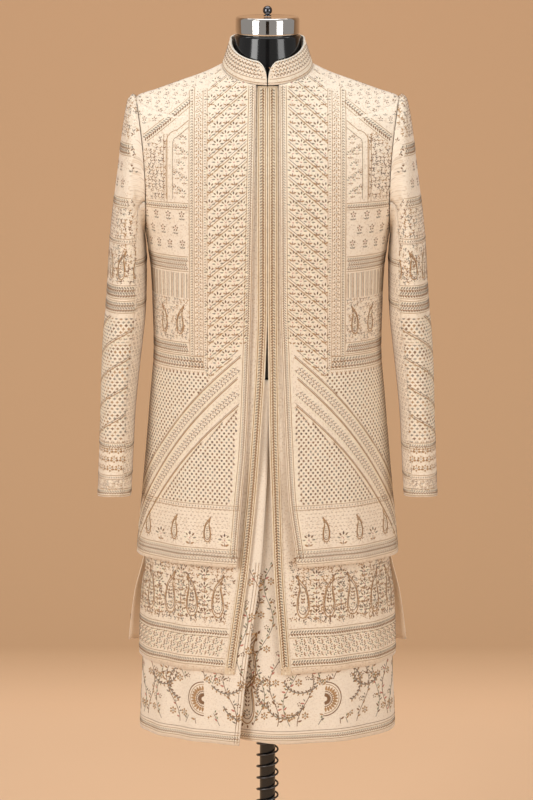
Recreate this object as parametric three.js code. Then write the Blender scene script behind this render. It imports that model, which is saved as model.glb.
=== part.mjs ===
// A layered sherwani coat on a limbless dress form with a pole stand.
// Millimetres, +Z up. The front faces -Y, and the wearer's left is +X.
// The origin is the middle of the base plate's underside, on the pole's axis.
//
// The coat has three layers of cloth. A short jacket with sleeves and a stand collar is open down the
// front. Under it hangs the long coat, whose edges meet down the middle and part below the waist.
// Under that, an overlapping skirt tier is sewn in at the waist. Every panel is a wall lofted through
// body sections. A section is half a superellipse, from the centre line round to the panel's side edge.

import * as THREE from "three";

// ---- Driving dimensions ------------------------------------------------------------------------

const SEAM_GAP = 0.4; // between two panels that are sewn together
const LAYER_GAP = 3.6; // between one layer's inside and the next layer's outside
const THICK = { jacket: 1.8, coat: 1.5, tier: 1.2, collar: 2.2, band: 0.5, piping: 1.6 };
const BAND = { width: 17.5, lift: 0.6 }; // the bands sewn on the long coat's front edges
const HEM = { jacket: 684, coat: 507, tier: 377 }; // heights of the three hems above the floor
const TIER_TOP = 1000; // where the skirt tier is sewn in
const SLIT_TOP = 715; // top of the long coat's side slits
const COLLAR = { height: 40, frontHeight: 36, sideLean: 14, frontLean: 9, backLean: 2, endCurve: 21 };

// The armhole is an ellipse, bowed towards the body, from the shoulder point to the underarm.
const SHOULDER = { x: 219, z: 1462 };
const UNDERARM = { x: 205, z: 1232 };
const ARMHOLE = { front: 72, back: 78, bow: 8 };

// Sections of the jacket's outside, from the neck seam down. width is half the section's width, front
// and back are its depths from the pole's axis, and the drops say how far its middle hangs below its
// sides. square is the superellipse's exponent. Between the shoulder point and the underarm the
// armhole sets the width.
const BODY = [
  { z: 1516, width: 76, front: 68, back: 63, frontDrop: 29, backDrop: -7, square: 2.0 },
  { z: 1503, width: 106, front: 74, back: 75, frontDrop: 32, backDrop: 0, square: 2.0 },
  { z: 1490, width: 144, front: 78, back: 86, frontDrop: 34, backDrop: 5, square: 2.0 },
  { z: 1476, width: 183, front: 85, back: 96, frontDrop: 35, backDrop: 9, square: 2.0 },
  { z: 1462, width: 219, front: 92, back: 104, frontDrop: 36, backDrop: 12, square: 2.0 },
  { z: 1415, width: 215, front: 108, back: 116, frontDrop: 26, backDrop: 8, square: 2.05 },
  { z: 1360, width: 212, front: 122, back: 124, frontDrop: 12, backDrop: 3, square: 2.1 },
  { z: 1300, width: 208, front: 131, back: 127, frontDrop: 3, backDrop: 0, square: 2.2 },
  { z: 1232, width: 205, front: 134, back: 124, frontDrop: 0, backDrop: 0, square: 2.25 },
  { z: 1180, width: 198, front: 132, back: 119, frontDrop: 0, backDrop: 0, square: 2.25 },
  { z: 1117, width: 195, front: 128, back: 114, frontDrop: 0, backDrop: 0, square: 2.25 },
  { z: 1040, width: 193, front: 124, back: 111, frontDrop: 0, backDrop: 0, square: 2.2 },
  { z: 946, width: 200, front: 126, back: 118, frontDrop: 0, backDrop: 0, square: 2.1 },
  { z: 876, width: 206, front: 129, back: 127, frontDrop: 0, backDrop: 0, square: 2.05 },
  { z: 807, width: 212, front: 133, back: 135, frontDrop: 0, backDrop: 0, square: 2.0 },
  { z: 737, width: 219, front: 136, back: 142, frontDrop: 0, backDrop: 0, square: 1.95 },
  { z: 684, width: 224, front: 139, back: 147, frontDrop: 0, backDrop: 0, square: 1.92 },
];

// The long coat hangs inside the jacket down to the hips, and by these sections below them.
const COAT_SKIRT = [
  { z: 807, width: 207, front: 127, back: 129, frontDrop: 0, backDrop: 0, square: 2.0 },
  { z: 737, width: 211, front: 128.5, back: 133, frontDrop: 0, backDrop: 0, square: 1.95 },
  { z: 675, width: 214, front: 131, back: 137, frontDrop: 0, backDrop: 0, square: 1.95 },
  { z: 600, width: 223.5, front: 137, back: 146, frontDrop: 0, backDrop: 0, square: 1.95 },
  { z: 507, width: 226, front: 141, back: 152, frontDrop: 8, backDrop: 0, square: 1.95 },
];

const TIER_SKIRT = [
  { z: 1000, width: 187, front: 116, back: 103, frontDrop: 0, backDrop: 0, square: 2.15 },
  { z: 876, width: 193, front: 116, back: 111, frontDrop: 0, backDrop: 0, square: 2.05 },
  { z: 737, width: 199, front: 118, back: 122, frontDrop: 0, backDrop: 0, square: 1.95 },
  { z: 600, width: 208, front: 125, back: 131, frontDrop: 0, backDrop: 0, square: 1.95 },
  { z: 500, width: 214, front: 131, back: 138, frontDrop: 0, backDrop: 0, square: 1.95 },
  { z: 377, width: 220, front: 136, back: 145, frontDrop: 0, backDrop: 0, square: 2.0 },
];

// How far each front edge lies from the middle, towards its own side. The wearer's right is -X.
const EDGES = [
  { z: 1516, jacketRight: 19, jacketLeft: 19, coatRight: 0.9, coatLeft: 0.9, tierRight: 0, tierLeft: 0 },
  { z: 1125, jacketRight: 26, jacketLeft: 21, coatRight: 0.9, coatLeft: 0.9, tierRight: 0, tierLeft: 0 },
  { z: 1032, jacketRight: 29, jacketLeft: 24, coatRight: 3, coatLeft: 1, tierRight: -6, tierLeft: -60 },
  { z: 890, jacketRight: 35, jacketLeft: 30, coatRight: 12, coatLeft: 3, tierRight: -2, tierLeft: -66 },
  { z: 800, jacketRight: 43, jacketLeft: 35, coatRight: 19, coatLeft: 6, tierRight: 3, tierLeft: -74 },
  { z: 684, jacketRight: 52, jacketLeft: 50, coatRight: 31, coatLeft: 10, tierRight: 11, tierLeft: -82 },
  { z: 507, jacketRight: 60, jacketLeft: 58, coatRight: 57, coatLeft: 23, tierRight: 35, tierLeft: -92 },
  { z: 377, jacketRight: 60, jacketLeft: 58, coatRight: 75, coatLeft: 33, tierRight: 48, tierLeft: -100 },
];

// Front edges swing forwards (or, below zero, back) towards the hem, from this height down, over a
// reach from the edge.
const SWING = {
  jacketRight: { by: 3, top: 1050 },
  jacketLeft: { by: 3, top: 1050 },
  coatRight: { by: 4, top: 1050 },
  coatLeft: { by: 2, top: 1050 },
  tierRight: { by: 10, top: 1050 },
  tierLeft: { by: -42, top: 800 },
};
const REACH = 120;

// The left tier front steps in where the right one laps over it, and its edge rides up.
const LAP = { inset: 3.6, from: 12, to: 70, rise: 8 };

// The long coat's back flares backwards and outwards beside its side slits.
const BACK_FLARE = { x: 21, y: 100 };

// Soft flutes in the skirts: their depth at the hem and their number round a front panel.
const FLUTES = { depth: 2.2, top: 930, jacket: 2.5, coat: 3, tier: 3.5 };

// Sleeve sections from the armhole to the cuff. top and under are the outer and inner ends of each
// section, seen from the front. front and back are its depths from y.
const SLEEVE = [
  { topX: 225.5, topZ: 1466, underX: 206.6, underZ: 1229.5, y: 0, front: 73, back: 79, square: 2.0 },
  { topX: 233, topZ: 1459, underX: 206.6, underZ: 1227, y: 0, front: 74, back: 80, square: 2.0 },
  { topX: 238, topZ: 1440, underX: 206.4, underZ: 1224, y: 0, front: 75, back: 80, square: 2.0 },
  { topX: 243.5, topZ: 1406, underX: 206, underZ: 1220, y: -1, front: 76, back: 80, square: 2.0 },
  { topX: 250, topZ: 1355, underX: 205.4, underZ: 1215, y: -2, front: 77, back: 80, square: 2.05 },
  { topX: 256.5, topZ: 1305, underX: 204.8, underZ: 1208, y: -3, front: 77, back: 80, square: 2.1 },
  { topX: 262.5, topZ: 1254, underX: 204.3, underZ: 1198, y: -4, front: 78, back: 79, square: 2.15 },
  { topX: 267, topZ: 1203, underX: 204, underZ: 1180, y: -6, front: 78, back: 78, square: 2.2 },
  { topX: 270.5, topZ: 1150, underX: 204, underZ: 1146, y: -8, front: 76, back: 77, square: 2.25 },
  { topX: 274, topZ: 1101, underX: 205.5, underZ: 1101, y: -11, front: 74, back: 75, square: 2.3 },
  { topX: 278, topZ: 1045, underX: 212, underZ: 1045, y: -15, front: 71, back: 72, square: 2.35 },
  { topX: 280.5, topZ: 990, underX: 218.5, underZ: 990, y: -20, front: 68, back: 69, square: 2.4 },
  { topX: 282.5, topZ: 940, underX: 223, underZ: 940, y: -24, front: 65, back: 66, square: 2.45 },
  { topX: 284.5, topZ: 876, underX: 226.7, underZ: 876, y: -30, front: 61, back: 62, square: 2.5 },
  { topX: 286.5, topZ: 820, underX: 230, underZ: 820, y: -35, front: 58, back: 59, square: 2.5 },
  { topX: 288, topZ: 789, underX: 231.7, underZ: 789, y: -38, front: 56, back: 57, square: 2.5 },
];
const CUFF_TILT = { slope: 0.13, from: 1000, to: 789 }; // the cuff's plane rises towards the front
const SLEEVE_START = 1.2; // the sleeve's first section stands this far outside the armhole
const SLEEVE_SEAM = 118; // degrees from the outer line to the seams of the under sleeve
const SLEEVE_NUDGE = 3; // degrees to each side for a sleeve point's normal

// Sections of the dress form.
const FORM = [
  { z: 1565, width: 55, front: 53, back: 54, frontDrop: 0, backDrop: 0, square: 2.0 },
  { z: 1548, width: 56, front: 53, back: 54, frontDrop: 2, backDrop: 0, square: 2.0 },
  { z: 1528, width: 59, front: 53, back: 55, frontDrop: 12, backDrop: -2, square: 2.0 },
  { z: 1511, width: 68, front: 55.5, back: 57, frontDrop: 27, backDrop: -2, square: 2.0 },
  { z: 1497, width: 100, front: 61, back: 68, frontDrop: 33, backDrop: 2, square: 2.0 },
  { z: 1481, width: 142, front: 69, back: 80, frontDrop: 35, backDrop: 6, square: 2.0 },
  { z: 1463, width: 180, front: 77, back: 90, frontDrop: 36, backDrop: 9, square: 2.0 },
  { z: 1436, width: 196, front: 87, back: 100, frontDrop: 31, backDrop: 9, square: 2.05 },
  { z: 1400, width: 198, front: 100, back: 109, frontDrop: 22, backDrop: 6, square: 2.1 },
  { z: 1340, width: 196, front: 117, back: 117, frontDrop: 8, backDrop: 1, square: 2.15 },
  { z: 1270, width: 190, front: 125, back: 117, frontDrop: 0, backDrop: 0, square: 2.2 },
  { z: 1190, width: 178, front: 121, back: 109, frontDrop: 0, backDrop: 0, square: 2.2 },
  { z: 1110, width: 163, front: 113, back: 99, frontDrop: 0, backDrop: 0, square: 2.2 },
  { z: 1040, width: 155, front: 107, back: 95, frontDrop: 0, backDrop: 0, square: 2.2 },
  { z: 960, width: 160, front: 104, back: 93, frontDrop: 0, backDrop: 0, square: 2.1 },
  { z: 880, width: 166, front: 102, back: 98, frontDrop: 0, backDrop: 0, square: 2.1 },
  { z: 800, width: 168, front: 100, back: 102, frontDrop: 0, backDrop: 0, square: 2.1 },
  { z: 735, width: 160, front: 94, back: 97, frontDrop: 0, backDrop: 0, square: 2.1 },
  { z: 703, width: 141, front: 81, back: 86, frontDrop: 0, backDrop: 0, square: 2.05 },
  { z: 692, width: 110, front: 60, back: 65, frontDrop: 0, backDrop: 0, square: 2.0 },
];

const CAP = { radius: 53.6, bottom: 1565.4, top: 1596, rim: 1.2 };
const KNOB = { radius: 7.8, footRadius: 6.5, footHeight: 2.2, neckRadius: 3.6, centre: 9.6 };
const POLE = { radius: 13.4, fit: 0.35 };
const BASE = { radius: 185, height: 10, edge: 3 };
const HUB = { radius: 34, height: 30 };
const SOCKET = { radius: 42, height: 28 };
const SPRING = { radius: 17.8, wire: 1.7, pitch: 20.5, bottom: 44, turns: 22, stepsPerTurn: 8, sides: 4 };

// ---- Sections ----------------------------------------------------------------------------------

const smoothstep = (a, b, x) => {
  const t = Math.min(1, Math.max(0, (x - a) / (b - a)));
  return t * t * (3 - 2 * t);
};

// Every column of a table at height z, on a smooth curve through its rows, which run from the top down.
function sample(rows, z) {
  let i = rows.findIndex((row) => z >= row.z);
  i = i < 1 ? (i < 0 ? rows.length - 1 : 1) : i;
  const [above, below] = [rows[i - 1], rows[i]];
  const t = Math.min(1, Math.max(0, (z - above.z) / (below.z - above.z)));
  const found = { z };
  for (const name of Object.keys(above).filter((key) => key !== "z")) {
    const slope = (a, b) => (b[name] - a[name]) / (b.z - a.z);
    const here = slope(above, below);
    const before = i > 1 ? slope(rows[i - 2], above) : here;
    const after = i < rows.length - 1 ? slope(below, rows[i + 1]) : here;
    const tangent = (a, b) => (a * b <= 0 ? 0 : (2 * a * b) / (a + b)) * (below.z - above.z);
    const [m0, m1] = [tangent(before, here), tangent(here, after)];
    const [t2, t3] = [t * t, t * t * t];
    found[name] =
      above[name] * (2 * t3 - 3 * t2 + 1) +
      m0 * (t3 - 2 * t2 + t) +
      below[name] * (3 * t2 - 2 * t3) +
      m1 * (t3 - t2);
  }
  return found;
}

// A section's side edge: on the armhole between the shoulder point and the underarm, and otherwise at
// the section's widest. y is measured from the middle, towards the panel's own face.
function sideEdge(row, face) {
  const middle = (SHOULDER.z + UNDERARM.z) / 2;
  const radius = (SHOULDER.z - UNDERARM.z) / 2;
  const along = (row.z - middle) / radius;
  if (Math.abs(along) >= 1 || !row.arm) return { x: row.width, y: 0 };
  const out = Math.sqrt(1 - along * along);
  const x = (SHOULDER.x + UNDERARM.x) / 2 + ((SHOULDER.x - UNDERARM.x) / 2) * along;
  return { x: x - ARMHOLE.bow * out * out, y: (face < 0 ? ARMHOLE.front : ARMHOLE.back) * out };
}

// Half a section as points, equally spaced from x = start to its side edge. face is -1 for the front.
// band sets the width of the first space.
function halfSection(row, face, start, count, edge = sideEdge(row, face), band = 0) {
  const depth = face < 0 ? row.front : row.back;
  const drop = face < 0 ? row.frontDrop : row.backDrop;
  const power = 2 / row.square;
  const width = edge.x / Math.pow(1 - Math.pow(edge.y / depth, row.square), 1 / row.square);
  const first = Math.sign(start) * Math.asin(Math.pow(Math.abs(start) / width, 1 / power));
  const last = Math.acos(Math.pow(Math.max(edge.y, SEAM_GAP / 2) / depth, 1 / power));
  const point = (angle) => {
    const [s, c] = [Math.sin(angle), Math.cos(angle)];
    return new THREE.Vector3(
      width * Math.sign(s) * Math.pow(Math.abs(s), power),
      face * depth * Math.pow(Math.abs(c), power),
      row.z - (drop * (c - Math.cos(last))) / (1 - Math.cos(last)),
    );
  };
  return evenly(Array.from({ length: 97 }, (_, i) => point(first + ((last - first) * i) / 96)), count, band);
}

// The same line again as count points, equally spaced along it after a first space of band, if any.
function evenly(points, count, band = 0) {
  const along = [0];
  points.slice(1).forEach((p, i) => along.push(along[i] + p.distanceTo(points[i])));
  const whole = along[along.length - 1];
  return Array.from({ length: count }, (_, k) => {
    const banded = k ? band + ((whole - band) * (k - 1)) / (count - 2) : 0;
    const s = band ? banded : (whole * k) / (count - 1);
    let i = along.findIndex((a) => a >= s);
    i = Math.max(1, i < 0 ? along.length - 1 : i);
    return points[i - 1].clone().lerp(points[i], (s - along[i - 1]) / (along[i] - along[i - 1] || 1));
  });
}

// ---- Walls -------------------------------------------------------------------------------------

// Outward normals of a grid of points. flat names an axis to leave out of the first or last column's
// normals, where a seam lies in a plane across that axis.
function normalsOf(grid, outward, flat = {}) {
  const [rows, columns] = [grid.length, grid[0].length];
  return grid.map((row, i) =>
    row.map((point, j) => {
      const down = grid[Math.min(i + 1, rows - 1)][j].clone().sub(grid[Math.max(i - 1, 0)][j]);
      const along = row[Math.min(j + 1, columns - 1)].clone().sub(row[Math.max(j - 1, 0)]);
      const normal = down.cross(along).normalize();
      if (normal.dot(outward(point)) < 0) normal.negate();
      const axis = j === 0 ? flat.first : j === columns - 1 ? flat.last : undefined;
      if (axis && axis(i)) normal[axis(i)] = 0;
      return normal.normalize();
    }),
  );
}

const moved = (grid, normals, distance) =>
  grid.map((row, i) => row.map((p, j) => p.clone().addScaledVector(normals[i][j], distance)));

// A closed wall between two grids of the same size.
function wallBetween(outer, inner) {
  const [rows, columns] = [outer.length, outer[0].length];
  const positions = [...outer.flat(), ...inner.flat()].flatMap((p) => [p.x, p.y, p.z]);
  const out = (i, j) => i * columns + j;
  const into = (i, j) => rows * columns + out(i, j);
  const index = [];
  const quad = (a, b, c, d) => index.push(a, b, c, a, c, d);
  for (let i = 0; i < rows - 1; i++)
    for (let j = 0; j < columns - 1; j++) {
      quad(out(i, j), out(i + 1, j), out(i + 1, j + 1), out(i, j + 1));
      quad(into(i, j), into(i, j + 1), into(i + 1, j + 1), into(i + 1, j));
    }
  for (let i = 0; i < rows - 1; i++) {
    quad(out(i, 0), into(i, 0), into(i + 1, 0), out(i + 1, 0));
    quad(out(i, columns - 1), out(i + 1, columns - 1), into(i + 1, columns - 1), into(i, columns - 1));
  }
  for (let j = 0; j < columns - 1; j++) {
    quad(out(0, j), out(0, j + 1), into(0, j + 1), into(0, j));
    quad(out(rows - 1, j), into(rows - 1, j), into(rows - 1, j + 1), out(rows - 1, j + 1));
  }
  return facingOut(positions, index);
}

// A solid from rings of the same size, closed by a fan at each end.
function loft(rings) {
  const count = rings[0].length;
  const ends = [rings[0], rings[rings.length - 1]].map((ring) =>
    ring.reduce((sum, p) => sum.add(p), new THREE.Vector3()).divideScalar(count),
  );
  const positions = [...rings.flat(), ...ends].flatMap((p) => [p.x, p.y, p.z]);
  const index = [];
  const [first, last] = [rings.length * count, rings.length * count + 1];
  for (let k = 0; k < count; k++) {
    const next = (k + 1) % count;
    for (let i = 0; i < rings.length - 1; i++) {
      const [a, b] = [i * count, (i + 1) * count];
      index.push(a + k, b + k, b + next, a + k, b + next, a + next);
    }
    const end = (rings.length - 1) * count;
    index.push(first, k, next, last, end + next, end + k);
  }
  return facingOut(positions, index);
}

// A geometry whose faces point out, whichever way its grid ran.
function facingOut(positions, index) {
  let volume = 0;
  const [a, b, c] = [new THREE.Vector3(), new THREE.Vector3(), new THREE.Vector3()];
  for (let i = 0; i < index.length; i += 3) {
    [a, b, c].forEach((v, k) => v.fromArray(positions, index[i + k] * 3));
    volume += a.dot(b.cross(c));
  }
  if (volume < 0) for (let i = 0; i < index.length; i += 3) [index[i], index[i + 1]] = [index[i + 1], index[i]];
  const geometry = new THREE.BufferGeometry();
  geometry.setAttribute("position", new THREE.Float32BufferAttribute(positions, 3));
  geometry.setIndex(index);
  return geometry;
}

const mirrored = (grid) => grid.map((row) => row.map((p) => new THREE.Vector3(-p.x, p.y, p.z)));
const fromAxis = (p) => new THREE.Vector3(p.x, p.y, 60);

// ---- The three layers --------------------------------------------------------------------------

const ARM_LEVELS = [21, 45, 72, 100, 128, 155].map(
  (degrees) =>
    (SHOULDER.z + UNDERARM.z) / 2 + ((SHOULDER.z - UNDERARM.z) / 2) * Math.cos((degrees * Math.PI) / 180),
);
const BODICE_LEVELS = [BODY[0].z, 1509, 1497, 1480, SHOULDER.z, ...ARM_LEVELS, UNDERARM.z];

const levelsBetween = (from, to, steps) =>
  Array.from({ length: steps }, (_, i) => from + ((to - from) * (i + 1)) / steps);

const LAYERS = {
  jacket: { rows: BODY, hem: HEM.jacket, levels: [...BODICE_LEVELS, ...levelsBetween(UNDERARM.z, HEM.jacket, 8)] },
  coat: {
    rows: [...BODY.filter((row) => row.z > 850), ...COAT_SKIRT],
    hem: HEM.coat,
    levels: [...BODICE_LEVELS, ...levelsBetween(UNDERARM.z, SLIT_TOP, 6), ...levelsBetween(SLIT_TOP, HEM.coat, 4)],
  },
  tier: { rows: TIER_SKIRT, hem: HEM.tier, levels: [TIER_TOP, ...levelsBetween(TIER_TOP, HEM.tier, 8)] },
};
const INSET = { jacket: 0, coat: THICK.jacket + LAYER_GAP, tier: 0 };

function rowAt(layer, z) {
  const row = sample(LAYERS[layer].rows, z);
  row.arm = layer !== "tier" && z < SHOULDER.z - 0.5 && z > UNDERARM.z + 0.5;
  return row;
}

// How far the flutes push a point out, from its distance round the panel and its height.
function flute(layer, z, share, phase) {
  const grow = smoothstep(FLUTES.top, LAYERS[layer].hem, z);
  const ends = Math.sin(Math.PI * Math.min(1, share * 1.02));
  return FLUTES.depth * grow * ends * Math.sin(2 * Math.PI * FLUTES[layer] * share + phase);
}

// A front panel's outside, for the wearer's left. name is its column in the tables of edges and swings.
function frontGrid(layer, name, columns, phase) {
  const grid = LAYERS[layer].levels.map((z) => {
    const row = rowAt(layer, z);
    const band = layer === "coat" ? BAND.width : 0;
    const points = halfSection(row, -1, sample(EDGES, z)[name], columns, sideEdge(row, -1), band);
    const grow = smoothstep(SWING[name].top, LAYERS[layer].hem, z);
    const swing = SWING[name].by * grow;
    const rise = name === "tierLeft" ? LAP.rise * grow : 0;
    let along = 0;
    return points.map((p, j) => {
      along += j ? p.distanceTo(points[j - 1]) : 0;
      const near = Math.max(0, 1 - along / REACH);
      const lapped = name === "tierLeft" ? LAP.inset * (1 - smoothstep(LAP.from, LAP.to, p.x)) : 0;
      const push = flute(layer, z, j / (columns - 1), phase) - lapped;
      const out = new THREE.Vector3(p.x, p.y * 2, 0).normalize();
      return p.clone().addScaledVector(out, push).add(new THREE.Vector3(0, -swing * near * near, rise * near));
    });
  });
  const seam = (i) => (rowAt(layer, LAYERS[layer].levels[i]).arm ? undefined : "y");
  const normals = normalsOf(grid, fromAxis, { last: seam });
  return { grid: moved(grid, normals, -INSET[layer]), normals };
}

// A back panel's outside, from the wearer's right round to the left.
function backGrid(layer, columns, phase) {
  const half = (columns + 1) / 2;
  const grid = LAYERS[layer].levels.map((z) => {
    const row = rowAt(layer, z);
    const edge = sideEdge(row, 1);
    if (layer === "coat") {
      const flare = smoothstep(SLIT_TOP + 40, HEM.coat - 60, z);
      edge.x += BACK_FLARE.x * flare;
      edge.y += BACK_FLARE.y * flare;
    }
    const points = halfSection(row, 1, 0, half, edge).map((p, j) => {
      const out = new THREE.Vector3(p.x, p.y * 2, 0).normalize();
      return p.addScaledVector(out, flute(layer, z, j / (half - 1), phase));
    });
    const other = points.slice(1).reverse().map((p) => new THREE.Vector3(-p.x, p.y, p.z));
    return [...other, ...points];
  });
  const seam = (i) => (rowAt(layer, LAYERS[layer].levels[i]).arm ? undefined : "y");
  const normals = normalsOf(grid, fromAxis, { first: seam, last: seam });
  return { grid: moved(grid, normals, -INSET[layer]), normals };
}

const panelWall = ({ grid, normals }, thickness) => wallBetween(grid, moved(grid, normals, -thickness));

// A band on a front panel's first column, made from the panel's own points and lifted off them.
function bandWall({ grid, normals }) {
  const firstColumn = (rows) => rows.map((row) => row.slice(0, 2));
  const [strip, lifts] = [firstColumn(grid), firstColumn(normals)];
  return wallBetween(moved(strip, lifts, BAND.lift + THICK.band), moved(strip, lifts, BAND.lift));
}

// ---- Sleeves -----------------------------------------------------------------------------------

// One section of the wearer's left sleeve, as points between two angles from its outer line.
function sleeveSection(row, from, to, count) {
  const power = 2 / row.square;
  return Array.from({ length: count }, (_, k) => {
    const angle = ((from + ((to - from) * k) / (count - 1)) * Math.PI) / 180;
    const [c, s] = [Math.cos(angle), Math.sin(angle)];
    const across = (1 + Math.sign(c) * Math.pow(Math.abs(c), power)) / 2;
    const depth = (s < 0 ? row.front : row.back) * Math.sign(s) * Math.pow(Math.abs(s), power);
    const bow = (row.bow || 0) * s * s;
    const rise = -depth * CUFF_TILT.slope * smoothstep(CUFF_TILT.from, CUFF_TILT.to, row.topZ);
    return new THREE.Vector3(
      row.underX + (row.topX - row.underX) * across - bow,
      row.y + depth,
      row.underZ + (row.topZ - row.underZ) * across + rise,
    );
  });
}

const SLEEVE_HEAD = {
  topX: SHOULDER.x + SLEEVE_START,
  topZ: SHOULDER.z + 0.6,
  underX: UNDERARM.x + SLEEVE_START,
  underZ: UNDERARM.z - 0.6,
  y: 0,
  front: ARMHOLE.front,
  back: ARMHOLE.back,
  square: 2,
  bow: ARMHOLE.bow,
};

// A strip of the sleeve from one seam to the other. The normals come from points a little to each
// side, so that the two strips' walls agree where they meet.
function sleeveGrid(from, to, columns) {
  const rows = [SLEEVE_HEAD, { ...SLEEVE[0], bow: 6 }, { ...SLEEVE[1], bow: 3 }, ...SLEEVE.slice(2)];
  const nudged = (nudge) => rows.map((row) => sleeveSection(row, from + nudge, to + nudge, columns));
  const [before, grid, after] = [nudged(-SLEEVE_NUDGE), nudged(0), nudged(SLEEVE_NUDGE)];
  const normals = grid.map((row, i) =>
    row.map((point, j) => {
      const down = grid[Math.min(i + 1, grid.length - 1)][j].clone().sub(grid[Math.max(i - 1, 0)][j]);
      return down.cross(after[i][j].clone().sub(before[i][j])).normalize();
    }),
  );
  return { grid, normals };
}

// ---- Collar ------------------------------------------------------------------------------------

// The stand collar's outside: columns round the neck from the wearer's right end to the left one, and
// rows from the neck seam to the top edge, which curves down to the neck seam at each front end.
function collarGrid(rows, half, gap) {
  const neck = sample(BODY, BODY[0].z);
  const front = halfSection(neck, -1, gap, half);
  const back = halfSection(neck, 1, 0, half).reverse();
  const round = [...front, ...back.slice(1)];
  const length = (points, k) => points.slice(1, k + 1).reduce((sum, p, i) => sum + p.distanceTo(points[i]), 0);
  const columns = round.map((p, k) => {
    const turn = Math.atan2(p.y / neck.front, p.x / neck.width);
    const facing = Math.max(0, -Math.sin(turn));
    const end = Math.min(1, length(round, k) / COLLAR.endCurve);
    const height = (COLLAR.height + (COLLAR.frontHeight - COLLAR.height) * facing) * (0.16 + 0.84 * Math.sqrt(end * (2 - end)));
    const turned = Math.abs(Math.sin(turn));
    const mostLean = p.y < 0 ? COLLAR.frontLean : COLLAR.backLean;
    const lean = ((COLLAR.sideLean + (mostLean - COLLAR.sideLean) * turned) * height) / COLLAR.height;
    const inward = new THREE.Vector3(-p.x, -p.y, 0).normalize();
    return Array.from({ length: rows }, (_, i) => {
      const t = i / (rows - 1);
      const at = p.clone().addScaledVector(inward, lean * t);
      at.z += 0.6 + height * t;
      return at;
    });
  });
  const left = Array.from({ length: rows }, (_, i) => columns.map((column) => column[i]));
  return left.map((row) => [...mirroredRow(row.slice(0, -1)), ...row.slice().reverse()]);
}

const mirroredRow = (row) => row.map((p) => new THREE.Vector3(-p.x, p.y, p.z));

function collarWall() {
  const grid = collarGrid(4, 15, 0.9);
  const normals = normalsOf(grid, (p) => new THREE.Vector3(p.x, p.y, 0));
  return { grid, normals };
}

// The cord along the collar's top edge: a square strip just above the wall.
function collarPiping(collar) {
  const inner = moved(collar.grid, collar.normals, -THICK.collar);
  const last = collar.grid.length - 1;
  const line = (grid, lift) => grid[last].map((p) => new THREE.Vector3(p.x, p.y, p.z + lift));
  const outer = [line(collar.grid, SEAM_GAP), line(collar.grid, SEAM_GAP + THICK.piping)];
  const inside = [line(inner, SEAM_GAP), line(inner, SEAM_GAP + THICK.piping)];
  return wallBetween(outer, inside);
}

// ---- Dress form and stand ----------------------------------------------------------------------

function formBody() {
  const quarter = 9;
  const rings = FORM.map((row) => {
    const edge = { x: row.width, y: 0 };
    const front = halfSection(row, -1, 0, quarter, edge).slice(0, -1);
    const side = [new THREE.Vector3(row.width, 0, row.z)];
    const back = halfSection(row, 1, 0, quarter, edge).slice(0, -1).reverse();
    const left = [...front, ...side, ...back];
    return [...left, ...mirroredRow(left.slice(1, -1).reverse())];
  });
  return loft(rings);
}

// A lathe turned about the pole's axis from [radius, height] pairs, with +Z up.
function turned(profile, segments = 40) {
  const points = profile.map(([radius, height]) => new THREE.Vector2(radius, height));
  return new THREE.LatheGeometry(points, segments).rotateX(Math.PI / 2);
}

function ringProfile(inner, outer, bottom, top, bevel) {
  return [
    [inner, bottom],
    [outer, bottom],
    [outer, top - bevel],
    [outer - bevel, top],
    [inner, top],
    [inner, bottom],
  ];
}

function discProfile(radius, bottom, top, bevel) {
  return [
    [0, bottom],
    [radius, bottom],
    [radius, top - bevel],
    [radius - bevel, top],
    [0, top],
  ];
}

function knobProfile() {
  const foot = CAP.top + 0.3;
  const centre = foot + KNOB.centre;
  const start = Math.asin(KNOB.neckRadius / KNOB.radius);
  const ball = Array.from({ length: 9 }, (_, i) => {
    const angle = start + ((Math.PI - start) * i) / 8;
    return [i === 8 ? 0 : KNOB.radius * Math.sin(angle), centre - KNOB.radius * Math.cos(angle)];
  });
  return [[0, foot], [KNOB.footRadius, foot], [KNOB.footRadius, foot + KNOB.footHeight - 0.6],
    [KNOB.neckRadius, foot + KNOB.footHeight], ...ball];
}

class Helix extends THREE.Curve {
  getPoint(t, target = new THREE.Vector3()) {
    const angle = 2 * Math.PI * SPRING.turns * t;
    const height = SPRING.bottom + SPRING.pitch * SPRING.turns * t;
    return target.set(SPRING.radius * Math.cos(angle), SPRING.radius * Math.sin(angle), height);
  }
}

function springCoil() {
  const section = new THREE.Shape(
    Array.from({ length: SPRING.sides }, (_, i) => {
      const angle = (2 * Math.PI * i) / SPRING.sides;
      return new THREE.Vector2(SPRING.wire * Math.cos(angle), SPRING.wire * Math.sin(angle));
    }),
  );
  const options = { steps: SPRING.turns * SPRING.stepsPerTurn, bevelEnabled: false, extrudePath: new Helix() };
  return new THREE.ExtrudeGeometry(section, options);
}

// ---- The object --------------------------------------------------------------------------------

const finish = (color, roughness, metalness = 0) => new THREE.MeshStandardMaterial({ color, roughness, metalness });
const MATERIALS = {
  jacket: finish(0xe9d6bc, 0.75),
  coat: finish(0xe6d0b4, 0.75),
  tier: finish(0xefe0ca, 0.7),
  band: finish(0xd9bf97, 0.65),
  piping: finish(0xfbf3e6, 0.6),
  form: finish(0x141210, 0.6),
  chrome: finish(0xc8c8c8, 0.12, 1),
  knob: finish(0x3c3a38, 0.25, 1),
  stand: finish(0x15120f, 0.35),
  spring: finish(0x6b5d50, 0.3, 1),
};

const sherwani = new THREE.Group();

function add(name, geometry, material) {
  const mesh = new THREE.Mesh(geometry, MATERIALS[material]);
  mesh.name = name;
  sherwani.add(mesh);
}

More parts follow.
